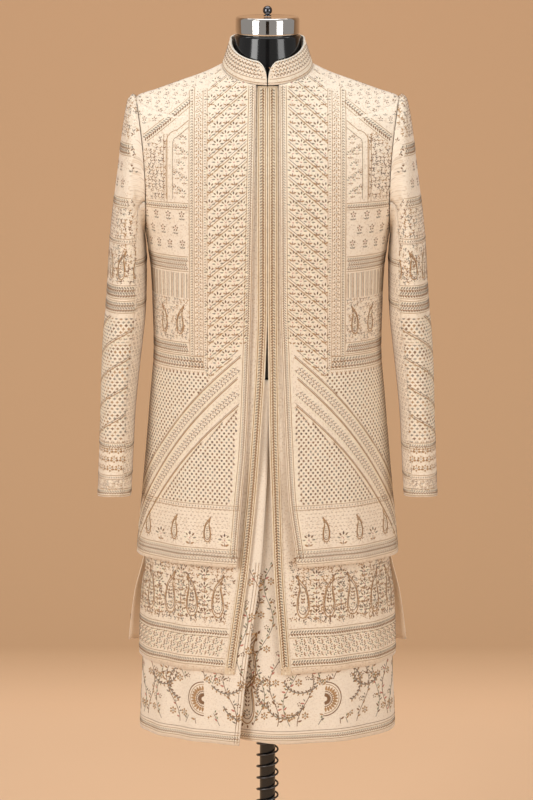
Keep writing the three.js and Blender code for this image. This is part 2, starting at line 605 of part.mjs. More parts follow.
function addFront(layer, side, columns, phase) {
  const name = layer + (side === "left" ? "Left" : "Right");
  const panel = frontGrid(layer, name, columns, phase);
  const placed = side === "left" ? panel : { grid: mirrored(panel.grid), normals: mirrored(panel.normals) };
  add(`${layer}_front_${side}`, panelWall(placed, THICK[layer]), layer);
  if (layer === "coat") add(`coat_band_${side}`, bandWall(placed), "band");
}

for (const side of ["left", "right"]) {
  addFront("jacket", side, 10, side === "left" ? 0.4 : 1.1);
  addFront("coat", side, 9, side === "left" ? 1.3 : 0.2);
  addFront("tier", side, 8, side === "left" ? 0.9 : 0.3);
}
add("jacket_back", panelWall(backGrid("jacket", 17, 0.6), THICK.jacket), "jacket");
add("coat_back", panelWall(backGrid("coat", 15, 1.5), THICK.coat), "coat");
add("tier_back", panelWall(backGrid("tier", 13, 0.2), THICK.tier), "tier");

const seamAngle = 0.35; // degrees of sleeve left open on each side of a seam, about the seam gap
const SLEEVE_PARTS = {
  top: sleeveGrid(-SLEEVE_SEAM + seamAngle, SLEEVE_SEAM - seamAngle, 13),
  under: sleeveGrid(SLEEVE_SEAM + seamAngle, 360 - SLEEVE_SEAM - seamAngle, 7),
};
for (const [part, { grid, normals }] of Object.entries(SLEEVE_PARTS)) {
  add(`sleeve_${part}_left`, panelWall({ grid, normals }, THICK.jacket), "jacket");
  add(`sleeve_${part}_right`, panelWall({ grid: mirrored(grid), normals: mirrored(normals) }, THICK.jacket), "jacket");
}

const collar = collarWall();
add("collar", panelWall(collar, THICK.collar), "jacket");
add("collar_piping", collarPiping(collar), "piping");

add("form_body", formBody(), "form");
add("neck_cap", turned(discProfile(CAP.radius, CAP.bottom, CAP.top, CAP.rim), 48), "chrome");
add("cap_knob", turned(knobProfile(), 20), "knob");

const formBottom = FORM[FORM.length - 1].z;
add("form_socket", turned(ringProfile(POLE.radius + POLE.fit, SOCKET.radius, formBottom - 0.4 - SOCKET.height,
  formBottom - 0.4, 2), 32), "stand");
add("pole", turned(discProfile(POLE.radius, BASE.height + 0.4, formBottom - 0.8, 0.5), 24), "stand");
add("pole_spring", springCoil(), "spring");
add("pole_hub", turned(ringProfile(POLE.radius + POLE.fit, HUB.radius, BASE.height + 0.4, BASE.height + HUB.height, 6), 32), "stand");
add("base_plate", turned(discProfile(BASE.radius, 0, BASE.height, BASE.edge), 64), "stand");

export default sherwani;
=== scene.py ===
# A three-layer embroidered sherwani coat on a black dress form with a chrome neck cap and a pole stand.
# Blender 4.5. Tables are in millimetres, and every mesh is in metres. The coat's front faces -Y, the
# wearer's left is +X, and the origin is the middle of the base plate's underside.
import copy
import math

import bmesh
import bpy
import numpy as np
from mathutils import Matrix, Vector


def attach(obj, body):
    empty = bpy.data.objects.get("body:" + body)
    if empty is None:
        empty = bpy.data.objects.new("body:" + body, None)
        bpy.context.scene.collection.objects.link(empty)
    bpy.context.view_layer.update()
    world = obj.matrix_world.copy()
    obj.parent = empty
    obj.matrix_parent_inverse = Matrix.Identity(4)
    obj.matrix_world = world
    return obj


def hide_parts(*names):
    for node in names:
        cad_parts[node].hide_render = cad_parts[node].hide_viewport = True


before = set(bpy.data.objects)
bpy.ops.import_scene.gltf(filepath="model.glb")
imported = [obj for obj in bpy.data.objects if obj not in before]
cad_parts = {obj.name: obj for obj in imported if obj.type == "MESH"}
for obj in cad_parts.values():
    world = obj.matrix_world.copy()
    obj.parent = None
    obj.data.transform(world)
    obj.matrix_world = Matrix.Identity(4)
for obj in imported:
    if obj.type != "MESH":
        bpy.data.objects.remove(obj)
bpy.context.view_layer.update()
MM = 0.001
rng = np.random.default_rng(40)

# ---- Camera ------------------------------------------------------------------------------------

LENS = 166.5
VIEW_HEIGHT = 0.945
VIEW_DISTANCE = 6.29
VIEW_PITCH = math.radians(10.5)

camera = bpy.data.objects.new("camera", bpy.data.cameras.new("camera"))
bpy.context.scene.collection.objects.link(camera)
camera.data.lens = LENS
camera.data.sensor_width = 36
camera.data.clip_end = 30
camera.location = (
    -0.0017,
    -VIEW_DISTANCE * math.cos(VIEW_PITCH),
    VIEW_HEIGHT + VIEW_DISTANCE * math.sin(VIEW_PITCH),
)
camera.rotation_euler = (math.pi / 2 - VIEW_PITCH, 0, 0)
bpy.context.scene.camera = camera

# ---- Sections of the coat, as it was cut ---------------------------------------------------------

# Each row is a half section: height, half width, front and back depth, how far the middle hangs below
# the sides in front and behind, and the superellipse's exponent.
NAMES = ("z", "width", "front", "back", "front_drop", "back_drop", "square")
BODY = [
    (1516, 76, 68, 63, 29, -7, 2.0),
    (1503, 106, 74, 75, 32, 0, 2.0),
    (1490, 144, 78, 86, 34, 5, 2.0),
    (1476, 183, 85, 96, 35, 9, 2.0),
    (1462, 219, 92, 104, 36, 12, 2.0),
    (1415, 215, 108, 116, 26, 8, 2.05),
    (1360, 212, 122, 124, 12, 3, 2.1),
    (1300, 208, 131, 127, 3, 0, 2.2),
    (1232, 205, 134, 124, 0, 0, 2.25),
    (1180, 198, 132, 119, 0, 0, 2.25),
    (1117, 195, 128, 114, 0, 0, 2.25),
    (1040, 193, 124, 111, 0, 0, 2.2),
    (946, 200, 126, 118, 0, 0, 2.1),
    (876, 206, 129, 127, 0, 0, 2.05),
    (807, 212, 133, 135, 0, 0, 2.0),
    (737, 219, 136, 142, 0, 0, 1.95),
    (684, 224, 139, 147, 0, 0, 1.92),
]
COAT = BODY[:14] + [
    (807, 207, 127, 129, 0, 0, 2.0),
    (737, 211, 128.5, 133, 0, 0, 1.95),
    (675, 214, 131, 137, 0, 0, 1.95),
    (600, 223.5, 137, 146, 0, 0, 1.95),
    (507, 226, 141, 152, 8, 0, 1.95),
]
TIER = [
    (1000, 187, 116, 103, 0, 0, 2.15),
    (876, 193, 116, 111, 0, 0, 2.05),
    (737, 199, 118, 122, 0, 0, 1.95),
    (600, 208, 125, 131, 0, 0, 1.95),
    (500, 214, 131, 138, 0, 0, 1.95),
    (377, 220, 136, 145, 0, 0, 2.0),
]
EDGE_NAMES = ("z", "jacket_right", "jacket_left", "coat_right", "coat_left", "tier_right", "tier_left")
EDGES = [
    (1516, 19, 19, 0.15, 0.15, 0, 0),
    (1125, 26, 21, 0.15, 0.15, 0, 0),
    (1032, 29, 24, 3, 1, -6, -60),
    (890, 35, 30, 12, 3, -2, -66),
    (800, 43, 35, 19, 6, 3, -74),
    (684, 52, 50, 31, 10, 11, -82),
    (507, 60, 58, 57, 23, 35, -92),
    (377, 60, 58, 75, 33, 48, -100),
]
SHOULDER = (219, 1462)
UNDERARM = (205, 1232)
ARMHOLE = {"front": 72, "back": 78, "bow": 8}
HEM = {"jacket": 684, "coat": 507, "tier": 377}
INSET = {"jacket": 0, "coat": 5.4, "tier": 0}
SWING = {
    "jacket_right": (3, 1050),
    "jacket_left": (3, 1050),
    "coat_right": (4, 1050),
    "coat_left": (2, 1050),
    "tier_right": (10, 1050),
    "tier_left": (-42, 800),
}
REACH = 120
LAP = {"inset": 3.6, "from": 12, "to": 70, "rise": 8}
SLIT_TOP = 715
BACK_FLARE = (21, 100)
FLUTE_DEPTH = 2.2
FLUTES = {"jacket": 2.5, "coat": 3, "tier": 3.5}
FLUTE_PHASE = {
    "jacket_left": 0.4,
    "jacket_right": 1.1,
    "coat_left": 1.3,
    "coat_right": 0.2,
    "tier_left": 0.9,
    "tier_right": 0.3,
    "jacket_back": 0.6,
    "coat_back": 1.5,
    "tier_back": 0.2,
}
SLEEVE_NAMES = ("top_x", "z", "under_x", "under_z", "y", "front", "back", "square", "bow")
SLEEVE = [
    (220.2, 1462.6, 206.2, 1231.4, 0, 72, 78, 2.0, 8),
    (225.5, 1466, 206.6, 1229.5, 0, 73, 79, 2.0, 6),
    (233, 1459, 206.6, 1227, 0, 74, 80, 2.0, 3),
    (238, 1440, 206.4, 1224, 0, 75, 80, 2.0, 0),
    (243.5, 1406, 206, 1220, -1, 76, 80, 2.0, 0),
    (250, 1355, 205.4, 1215, -2, 77, 80, 2.05, 0),
    (256.5, 1305, 204.8, 1208, -3, 77, 80, 2.1, 0),
    (262.5, 1254, 204.3, 1198, -4, 78, 79, 2.15, 0),
    (267, 1203, 204, 1180, -6, 78, 78, 2.2, 0),
    (270.5, 1150, 204, 1146, -8, 76, 77, 2.25, 0),
    (274, 1101, 205.5, 1101, -11, 74, 75, 2.3, 0),
    (278, 1045, 212, 1045, -15, 71, 72, 2.35, 0),
    (280.5, 990, 218.5, 990, -20, 68, 69, 2.4, 0),
    (282.5, 940, 223, 940, -24, 65, 66, 2.45, 0),
    (284.5, 876, 226.7, 876, -30, 61, 62, 2.5, 0),
    (286.5, 820, 230, 820, -35, 58, 59, 2.5, 0),
    (288, 789, 231.7, 789, -38, 56, 57, 2.5, 0),
]
CUFF_TILT = (0.13, 1000, 789)
SLEEVE_SEAM = 117.65
COLLAR = {
    "height": 40,
    "front": 36,
    "side_lean": 14,
    "front_lean": 9,
    "back_lean": 2,
    "end": 21,
    "thick": 2.2,
}


def smoothstep(a, b, x):
    t = np.clip((x - a) / (b - a), 0, 1)
    return t * t * (3 - 2 * t)


def sample(rows, names, at):
    """Every column of a table on a smooth curve through its rows, at one height or row number."""
    keys = [-row[names.index("z")] for row in rows] if rows is not SLEEVE else list(range(len(rows)))
    at = -at if rows is not SLEEVE else at
    i = min(max(int(np.searchsorted(keys, at, side="left")), 1), len(rows) - 1)
    span = keys[i] - keys[i - 1]
    t = min(max((at - keys[i - 1]) / span, 0), 1)
    found = {}
    for k, name in enumerate(names):
        slope = lambda a, b: (rows[b][k] - rows[a][k]) / (keys[b] - keys[a])
        here = slope(i - 1, i)
        before = slope(i - 2, i - 1) if i > 1 else here
        after = slope(i, i + 1) if i < len(rows) - 1 else here
        tangent = lambda a, b: 0 if a * b <= 0 else 2 * a * b / (a + b) * span
        m0, m1 = tangent(before, here), tangent(here, after)
        found[name] = (
            rows[i - 1][k] * (2 * t**3 - 3 * t**2 + 1)
            + m0 * (t**3 - 2 * t**2 + t)
            + rows[i][k] * (3 * t**2 - 2 * t**3)
            + m1 * (t**3 - t**2)
        )
    return found


def side_edge(row, face, arm):
    middle = (SHOULDER[1] + UNDERARM[1]) / 2
    radius = (SHOULDER[1] - UNDERARM[1]) / 2
    along = (row["z"] - middle) / radius
    if not arm or abs(along) >= 1:
        return row["width"], 0.0
    out = math.sqrt(1 - along * along)
    x = (SHOULDER[0] + UNDERARM[0]) / 2 + (SHOULDER[0] - UNDERARM[0]) / 2 * along
    return x - ARMHOLE["bow"] * out * out, ARMHOLE["front" if face < 0 else "back"] * out


def half_section(row, face, start, shares, edge):
    depth, drop = (row["front"], row["front_drop"]) if face < 0 else (row["back"], row["back_drop"])
    power = 2 / row["square"]
    width = edge[0] / (1 - (edge[1] / depth) ** row["square"]) ** (1 / row["square"])
    first = math.copysign(math.asin((abs(start) / width) ** (1 / power)), start)
    last = math.acos((max(edge[1], 0.2) / depth) ** (1 / power))
    angle = np.linspace(first, last, 257)
    s, c = np.sin(angle), np.cos(angle)
    line = np.stack(
        [
            width * np.sign(s) * np.abs(s) ** power,
            face * depth * np.abs(c) ** power,
            row["z"] - drop * (c - math.cos(last)) / (1 - math.cos(last)),
        ],
        1,
    )
    along = np.concatenate([[0], np.cumsum(np.linalg.norm(np.diff(line, axis=0), axis=1))])
    return np.stack([np.interp(shares * along[-1], along, line[:, k]) for k in range(3)], 1)


# ---- Cloth ---------------------------------------------------------------------------------------


class Cloth:
    """A panel of cloth as a fine grid of points, rows from the top down, with its outward normals. A place
    on it is (s, z): the distance round the body from the centre line, and the height, both in mm."""

    def __init__(self, name, grid, start, outward, mirror):
        self.name, self.mirror = name, mirror
        self.points = grid
        down = np.gradient(grid, axis=0)
        along = np.gradient(grid, axis=1)
        normals = np.cross(down, along)
        normals /= np.linalg.norm(normals, axis=2, keepdims=True) + 1e-9
        if (normals * outward(grid)).sum() < 0:
            normals = -normals
        self.normals = normals
        step = np.linalg.norm(np.diff(grid[..., :2], axis=1), axis=2)
        self.s = start[:, None] + np.concatenate([np.zeros((len(grid), 1)), np.cumsum(step, axis=1)], 1)
        self.z = grid[..., 2]
        i, j = len(grid) // 2, grid.shape[1] // 2
        up, right = grid[i, j] - grid[i + 1, j], grid[i, j + 1] - grid[i, j]
        self.hand = np.sign(np.dot(np.cross(up, normals[i, j]), right))

    def moved(self, distance):
        self.points = self.points + self.normals * distance
        self.z = self.points[..., 2]
        return self

    def find(self, s, z):
        """Row and column numbers of places, and which of them are on the panel."""
        rows, columns = self.s.shape
        c = np.interp(s, self.s[rows // 2], np.arange(columns))
        middle = self.z[:, columns // 2]
        r = np.interp(-z, -middle, np.arange(rows))
        for _ in range(34):
            i = np.clip(r.astype(int), 0, rows - 2)
            j = np.clip(c.astype(int), 0, columns - 2)
            f, g = r - i, c - j
            values = []
            for grid in (self.s, self.z):
                a, b = grid[i, j], grid[i, j + 1]
                d, e = grid[i + 1, j], grid[i + 1, j + 1]
                top, low = a + (b - a) * g, d + (e - d) * g
                values.append((top + (low - top) * f, low - top, (b - a) * (1 - f) + (e - d) * f))
            (sv, sr, sc), (zv, zr, zc) = values
            det = sr * zc - sc * zr
            det = np.where(np.abs(det) < 1e-6, 1e-6, det)
            ds, dz = s - sv, z - zv
            r = np.clip(r + np.clip((ds * zc - dz * sc) / det, -5, 5), -1, rows)
            c = np.clip(c + np.clip((dz * sr - ds * zr) / det, -5, 5), -1, columns)
        in_rows = (r >= -0.02) & (r <= rows - 0.98)
        in_columns = (c >= -0.02) & (c <= columns - 0.98)
        on = (np.abs(ds) + np.abs(dz) < 0.6) & in_rows & in_columns
        return r, c, on

    def at(self, r, c):
        """Points, normals and the two directions in the cloth at row and column numbers."""
        rows, columns = self.s.shape
        i = np.clip(r.astype(int), 0, rows - 2)
        j = np.clip(c.astype(int), 0, columns - 2)
        f, g = (r - i)[:, None], (c - j)[:, None]
        mix = lambda grid: (grid[i, j] * (1 - g) + grid[i, j + 1] * g) * (1 - f) + (
            grid[i + 1, j] * (1 - g) + grid[i + 1, j + 1] * g
        ) * f
        point, normal = mix(self.points), mix(self.normals)
        normal /= np.linalg.norm(normal, axis=1, keepdims=True)
        up = self.points[i, j] - self.points[i + 1, j]
        up -= normal * (up * normal).sum(1, keepdims=True)
        up[:, :2] *= 0.15
        up -= normal * (up * normal).sum(1, keepdims=True)
        up /= np.linalg.norm(up, axis=1, keepdims=True) + 1e-9
        across = np.cross(up, normal)
        right = self.points[i, j + 1] - self.points[i, j]
        across *= np.sign((across * right).sum(1, keepdims=True))
        return point, normal, across, up

    def s_at(self, x, z):
        """Distances round the body of places given by x and height."""
        x, z = np.broadcast_arrays(np.atleast_1d(x).astype(float), np.atleast_1d(z).astype(float))
        heights, distances = [], []
        for p, s in zip(self.points, self.s):
            across = np.maximum.accumulate(p[:, 0])
            heights.append(np.interp(x, across, p[:, 2]))
            distances.append(np.interp(x, across, s))
        heights, distances = np.array(heights), np.array(distances)
        return np.array([np.interp(-z[k], -heights[:, k], distances[:, k]) for k in range(len(x))])

    def edge_at(self, z, column=0):
        return np.interp(-np.asarray(z, float), -self.z[:, column], self.s[:, column])


def levels(layer):
    """Heights of a layer's rows, close together over the shoulders and round the armhole."""
    hem = HEM[layer]
    if layer == "tier":
        return np.linspace(1000, hem, 72)
    yoke = np.linspace(BODY[0][0], SHOULDER[1], 22)
    middle, radius = (SHOULDER[1] + UNDERARM[1]) / 2, (SHOULDER[1] - UNDERARM[1]) / 2
    arm = middle + radius * np.cos(np.linspace(0, math.pi, 30)[1:])
    step = 7 if layer == "jacket" else 12
    return np.concatenate([yoke, arm, np.linspace(UNDERARM[1], hem, int((UNDERARM[1] - hem) / step))[1:]])


def drape(p):
    """Shallow, uneven hollows in hanging cloth, alike on every layer so that they stay apart."""
    x, z = p[..., 0], p[..., 2]
    wave = np.sin(x / 31 + z / 210 + 1.2 * np.sin(z / 95)) + 0.7 * np.sin(x / 53 - z / 160 + 2.1)
    return 0.55 * wave * smoothstep(1440, 1250, z)


def body_row(layer, z):
    rows = {"jacket": BODY, "coat": COAT, "tier": TIER}[layer]
    row = sample(rows, NAMES, z)
    arm = layer != "tier" and UNDERARM[1] + 0.01 < z < SHOULDER[1] - 0.01
    return row, arm


def front_cloth(layer, side, columns):
    name = f"{layer}_{side}"
    by, top = SWING[name]
    shares = np.linspace(0, 1, columns)
    lines, starts = [], []
    for z in levels(layer):
        row, arm = body_row(layer, z)
        start = sample(EDGES, EDGE_NAMES, z)[name]
        p = half_section(row, -1, start, shares, side_edge(row, -1, arm))
        grow = smoothstep(top, HEM[layer], z)
        along = np.concatenate([[0], np.cumsum(np.linalg.norm(np.diff(p, axis=0), axis=1))])
        near = np.maximum(0, 1 - along / REACH)
        lap_fade = 1 - smoothstep(LAP["from"], LAP["to"], p[:, 0])
        lapped = LAP["inset"] * lap_fade if name == "tier_left" else 0
        push = flute(layer, z, shares, FLUTE_PHASE[name]) - lapped
        out = p * (1, 2, 0)
        out /= np.linalg.norm(out, axis=1, keepdims=True)
        p = p + out * push[:, None]
        p[:, 1] -= by * grow * near**2
        p[:, 2] += (LAP["rise"] if name == "tier_left" else 0) * grow * near
        lines.append(p)
        starts.append(start)
    away_from_pole = lambda g: g * (1, 1, 0) + (0, 0, 60)
    cloth = Cloth(name, np.array(lines), np.array(starts), away_from_pole, side == "right")
    return cloth.moved(drape(cloth.points)[..., None] - INSET[layer])


def flute(layer, z, share, phase):
    grow = smoothstep(930, HEM[layer], z)
    ends = np.sin(np.pi * np.minimum(1, share * 1.02))
    return FLUTE_DEPTH * grow * ends * np.sin(2 * np.pi * FLUTES[layer] * share + phase)


def back_cloth(layer, columns):
    shares = np.linspace(0, 1, columns // 2 + 1)
    lines = []
    for z in levels(layer):
        row, arm = body_row(layer, z)
        x, y = side_edge(row, 1, arm)
        if layer == "coat":
            flare = smoothstep(SLIT_TOP + 40, HEM["coat"] - 60, z)
            x, y = x + BACK_FLARE[0] * flare, y + BACK_FLARE[1] * flare
        p = half_section(row, 1, 0, shares, (x, y))
        out = p * (1, 2, 0)
        out /= np.linalg.norm(out, axis=1, keepdims=True)
        p = p + out * flute(layer, z, shares, FLUTE_PHASE[f"{layer}_back"])[:, None]
        lines.append(np.concatenate([p[:0:-1] * (-1, 1, 1), p]))
    grid = np.array(lines)
    half = np.linalg.norm(np.diff(grid[:, columns // 2 :, :2], axis=1), axis=2).sum(1)
    cloth = Cloth(f"{layer}_back", grid, -half, lambda g: g * (1, 1, 0) + (0, 0, 60), False)
    return cloth.moved(drape(cloth.points)[..., None] - INSET[layer])


def sleeve_cloth(part, side, columns, rows=100):
    start, end = -SLEEVE_SEAM, SLEEVE_SEAM
    if part == "under":
        start, end = SLEEVE_SEAM + 0.7, 360 - SLEEVE_SEAM - 0.7
    angle = np.radians(np.linspace(start, end, columns))
    slope, high, low = CUFF_TILT
    lines = []
    for number in np.linspace(0, len(SLEEVE) - 1, rows):
        row = sample(SLEEVE, SLEEVE_NAMES, number)
        power = 2 / row["square"]
        c, s = np.cos(angle), np.sin(angle)
        across = (1 + np.sign(c) * np.abs(c) ** power) / 2
        depth = np.where(s < 0, row["front"], row["back"]) * np.sign(s) * np.abs(s) ** power
        x = row["under_x"] + (row["top_x"] - row["under_x"]) * across - row["bow"] * s * s
        cuff_rise = depth * slope * smoothstep(high, low, row["z"])
        z = row["under_z"] + (row["z"] - row["under_z"]) * across - cuff_rise
        lines.append(np.stack([x, row["y"] + depth, z], 1))
    grid = np.array(lines)
    centre = grid.mean(axis=1, keepdims=True)
    middle = columns // 2
    left = np.linalg.norm(np.diff(grid[:, : middle + 1, :2], axis=1), axis=2).sum(1)
    cloth = Cloth(f"sleeve_{part}_{side}", grid, -left, lambda g: g - centre, side == "right")
    cloth.moved(sleeve_folds(grid)[..., None])
    cap = int(4 / (len(SLEEVE) - 1) * (rows - 1))
    length = np.linalg.norm(np.diff(cloth.points[: cap + 1], axis=0), axis=2)
    cloth.z = cloth.z.copy()
    cloth.z[:cap] = cloth.z[cap] + np.cumsum(length[::-1], axis=0)[::-1]
    return cloth


# Soft creases of the sleeves: height, y, length, tilt in degrees, depth and width.
SLEEVE_CREASES = [
    (1085, -70, 60, -28, 1.6, 9),
    (1048, -78, 74, -22, 2.0, 10),
    (1010, -74, 52, -34, 1.2, 8),
    (1070, 62, 66, 24, 1.7, 11),
    (1030, 55, 48, 30, 1.2, 8),
    (930, -62, 44, -18, 1.0, 8),
    (880, 20, 52, 20, 0.9, 9),
    (1290, -72, 58, 62, 1.3, 10),
]


def sleeve_folds(grid):
    y, z = grid[..., 1], grid[..., 2]
    depth = 0.5 * np.sin(z / 37 + y / 24) * smoothstep(1400, 1200, z) * smoothstep(795, 850, z)
    for height, side, length, tilt, deep, wide in SLEEVE_CREASES:
        c, s = math.cos(math.radians(tilt)), math.sin(math.radians(tilt))
        along = (y - side) * c + (z - height) * s
        off = (z - height) * c - (y - side) * s
        depth = depth - deep * np.exp(-((off / wide) ** 2) - (along / length * 1.6) ** 2)
    return depth


def collar_cloth(rows=9, half=80):
    neck = sample(BODY, NAMES, BODY[0][0])
    edge = (neck["width"], 0)
    shares = np.linspace(0, 1, half)
    front = half_section(neck, -1, 0.9, shares, edge)
    back = half_section(neck, 1, 0, shares, edge)[::-1]
    ring = np.concatenate([front, back[1:]])
    along = np.concatenate([[0], np.cumsum(np.linalg.norm(np.diff(ring, axis=0), axis=1))])
    turn = np.arctan2(ring[:, 1] / neck["front"], ring[:, 0] / neck["width"])
    facing, turned = np.maximum(0, -np.sin(turn)), np.abs(np.sin(turn))
    end = np.minimum(1, along / COLLAR["end"])
    height = COLLAR["height"] + (COLLAR["front"] - COLLAR["height"]) * facing
    height = height * (0.16 + 0.84 * np.sqrt(end * (2 - end)))
    most = np.where(ring[:, 1] < 0, COLLAR["front_lean"], COLLAR["back_lean"])
    lean = (COLLAR["side_lean"] + (most - COLLAR["side_lean"]) * turned) * height / COLLAR["height"]
    inward = -ring * (1, 1, 0)
    inward /= np.linalg.norm(inward, axis=1, keepdims=True)
    grid = []
    for t in np.linspace(1, 0, rows):
        p = ring + inward * (lean * t)[:, None]
        p[:, 2] += 0.6 + height * t
        grid.append(np.concatenate([p * (-1, 1, 1), p[-2::-1]]))
    grid = np.array(grid)
    half_way = np.linalg.norm(np.diff(grid[:, :half * 2 - 1, :2], axis=1), axis=2).sum(1)
    return Cloth("collar", grid, -half_way, lambda g: g * (1, 1, 0), False)


# ---- Colours and stitches ----------------------------------------------------------------------


def shade(r, g, b):
    linear = lambda v: v / 12.92 if v <= 0.04045 else ((v + 0.055) / 1.055) ** 2.4
    return (linear(r / 255), linear(g / 255), linear(b / 255), 1.0)


GOLD, BROWN, UMBER, GREY, PALE, PINK, GREEN, BLUE = range(8)
THREADS = [
    shade(178, 138, 92),
    shade(132, 94, 58),
    shade(92, 64, 40),
    shade(146, 134, 118),
    shade(250, 238, 214),
    shade(196, 124, 104),
    shade(120, 126, 86),
    shade(106, 112, 130),
]

LEAF = [(0, 0), (0.5, 0.3), (0.42, 0.68), (0, 1), (-0.42, 0.68), (-0.5, 0.3)]
SMALL_LEAF = [(0, 0), (0.5, 0.46), (0, 1), (-0.5, 0.46)]
DOT = [(1, 0), (0, 1), (-1, 0), (0, -1)]


class Stitches:
    """Raised embroidery on one panel: leaves, beads and cords at places (s, z) in mm."""

    def __init__(self, cloth):
        self.cloth = cloth
        self.points, self.faces, self.colours = [], [], []
        self.count = 0

    def add(self, points, faces, colours):
        self.points.append(points)
        self.faces.append(faces + self.count)
        self.colours.append(colours)
        self.count += len(points)

    def domes(self, outline, s, z, angle, length, width, height, colour, keep=None):
        """A raised shape on each place. The outline is in units of its length (up) and width (across)."""
        given = (s, z, angle, length, width, height, colour)
        s, z, angle, length, width, height, colour = np.broadcast_arrays(*given)
        r, c, on = self.cloth.find(s.astype(float), z.astype(float))
        point, normal, across, up = self.cloth.at(r, c)
        if keep is not None:
            on = on & keep(point[:, 0], point[:, 1], point[:, 2])
        point, normal, across, up = point[on], normal[on], across[on], up[on]
        angle, length, width, height, colour = angle[on], length[on], width[on], height[on], colour[on]
        if not len(point):
            return
        outline = np.array(outline)
        n = len(outline)
        local = np.concatenate([outline, outline.mean(axis=0, keepdims=True)])
        x = local[None, :, 0] * width[:, None]
        y = local[None, :, 1] * length[:, None]
        c, s = np.cos(angle)[:, None], np.sin(angle)[:, None]
        u, v = x * c + y * s, y * c - x * s
        lift = np.full(local.shape[0], -0.15)
        rise = np.zeros(local.shape[0])
        rise[-1] = 1
        w = lift[None] + rise[None] * height[:, None]
        place = (
            point[:, None]
            + u[..., None] * across[:, None]
            + v[..., None] * up[:, None]
            + w[..., None] * normal[:, None]
        )
        fan = np.array([(k, (k + 1) % n, n) for k in range(n)])[:, :: int(self.cloth.hand)]
        faces = fan[None] + (np.arange(len(point)) * (n + 1))[:, None, None]
        self.add(place.reshape(-1, 3), faces.reshape(-1, 3), np.repeat(colour, n + 1))

    def leaves(self, s, z, angle, length, width, colour, keep=None, height=0.45):
        raised = height * np.where(np.asarray(colour) == PALE, 0.6, 1.2)
        values = np.broadcast_arrays(s, z, np.asarray(angle, float), length, width, raised, colour)
        small = values[3] < 5.2
        self.domes(SMALL_LEAF, *[v[small] for v in values], keep)
        self.domes(LEAF, *[v[~small] for v in values], keep)

    def beads(self, s, z, radius, colour, keep=None):
        radius = np.asarray(radius, float)
        self.domes(DOT, s, z, 0.0, radius, radius, radius * 0.8 + 0.15, colour, keep)

    def cord(self, s, z, width, colour, keep=None, height=0.5):
        """A raised cord along a line of places."""
        s, z = np.asarray(s, float), np.asarray(z, float)
        s, z = np.broadcast_arrays(s, z)
        r, c, on = self.cloth.find(s.copy(), z.copy())
        point, normal, across, up = self.cloth.at(r, c)
        if keep is not None:
            on = on & keep(point[:, 0], point[:, 1], point[:, 2])
        edges = np.flatnonzero(np.diff(np.concatenate([[0], on.astype(int), [0]])))
        for a, b in zip(edges[::2], edges[1::2]):
            if b - a < 2:
                continue
            p, n = point[a:b], normal[a:b]
            way = np.gradient(p, axis=0)
            way /= np.linalg.norm(way, axis=1, keepdims=True) + 1e-9
            side = np.cross(n, way)
            left = p - side * width / 2 - n * 0.15
            right = p + side * width / 2 - n * 0.15
            ridge = p + n * height
            strip = np.stack([left, ridge, right], 1).reshape(-1, 3)
            k = np.arange(b - a - 1)[:, None] * 3
            quads = [(0, 4, 1), (0, 3, 4), (1, 5, 2), (1, 4, 5)]
            faces = np.concatenate([k + np.array([q]) for q in quads])
            self.add(strip, faces, np.full(len(strip), colour))


def spread(motif, s, z, scale=1.0, turn=0.0, flip=1.0):
    """The parts of a motif at many places. Motif rows are dx, dz, angle in degrees, length, width, colour."""
    motif = np.array(motif, float)
    s, z, scale, turn, flip = [
        np.asarray(v, float)[:, None] for v in np.broadcast_arrays(*np.atleast_1d(s, z, scale, turn, flip))
    ]
    dx, dz, angle = motif[None, :, 0] * flip, motif[None, :, 1], np.radians(motif[None, :, 2]) * flip
    c, k = np.cos(turn), np.sin(turn)
    at_s = s + scale * (dx * c + dz * k)
    at_z = z + scale * (dz * c - dx * k)
    length = scale * motif[None, :, 3] + 0 * at_s
    width = scale * motif[None, :, 4] + 0 * at_s
    colour = motif[None, :, 5] + 0 * at_s
    return [v.ravel() for v in (at_s, at_z, angle + turn + 0 * at_s, length, width, colour.astype(int))]


def ring(count, reach, length, width, colour, start=0.0, dx=0.0, dz=0.0):
    rows = []
    for k in range(count):
        a = start + 360 * k / count
        rows.append(
            (
                dx + reach * math.sin(math.radians(a)),
                dz + reach * math.cos(math.radians(a)),
                a,
                length,
                width,
                colour,
            )
        )
    return rows


def stem(lean, count, length, width, colour, gap, side=38):
    """Pairs of leaves up a leaning stem."""
    rows = []
    for k in range(count):
        x, z = math.sin(math.radians(lean)) * gap * k, math.cos(math.radians(lean)) * gap * k
        rows.append((x, z, lean - side, length, width, colour))
        rows.append((x, z, lean + side, length, width, colour))
    return rows


FLOWER = (
    ring(6, 1.4, 4.0, 2.9, GOLD)
    + ring(6, 1.2, 2.6, 1.7, PALE, 30)
    + ring(3, 0.2, 1.8, 1.8, UMBER)
)
SMALL_FLOWER = ring(5, 1.0, 3.4, 2.6, BROWN) + [(0, -0.8, 0, 1.8, 1.8, PALE)]


def fan_of(count, spread_angle, length, width, colours, dx=0.0, dz=0.0, out=0.0):
    rows = []
    for k in range(count):
        a = -spread_angle + 2 * spread_angle * k / (count - 1)
        x, z = math.sin(math.radians(a)), math.cos(math.radians(a))
        rows.append((dx + out * x, dz + out * z, a, length, width, colours[k % len(colours)]))
    return rows


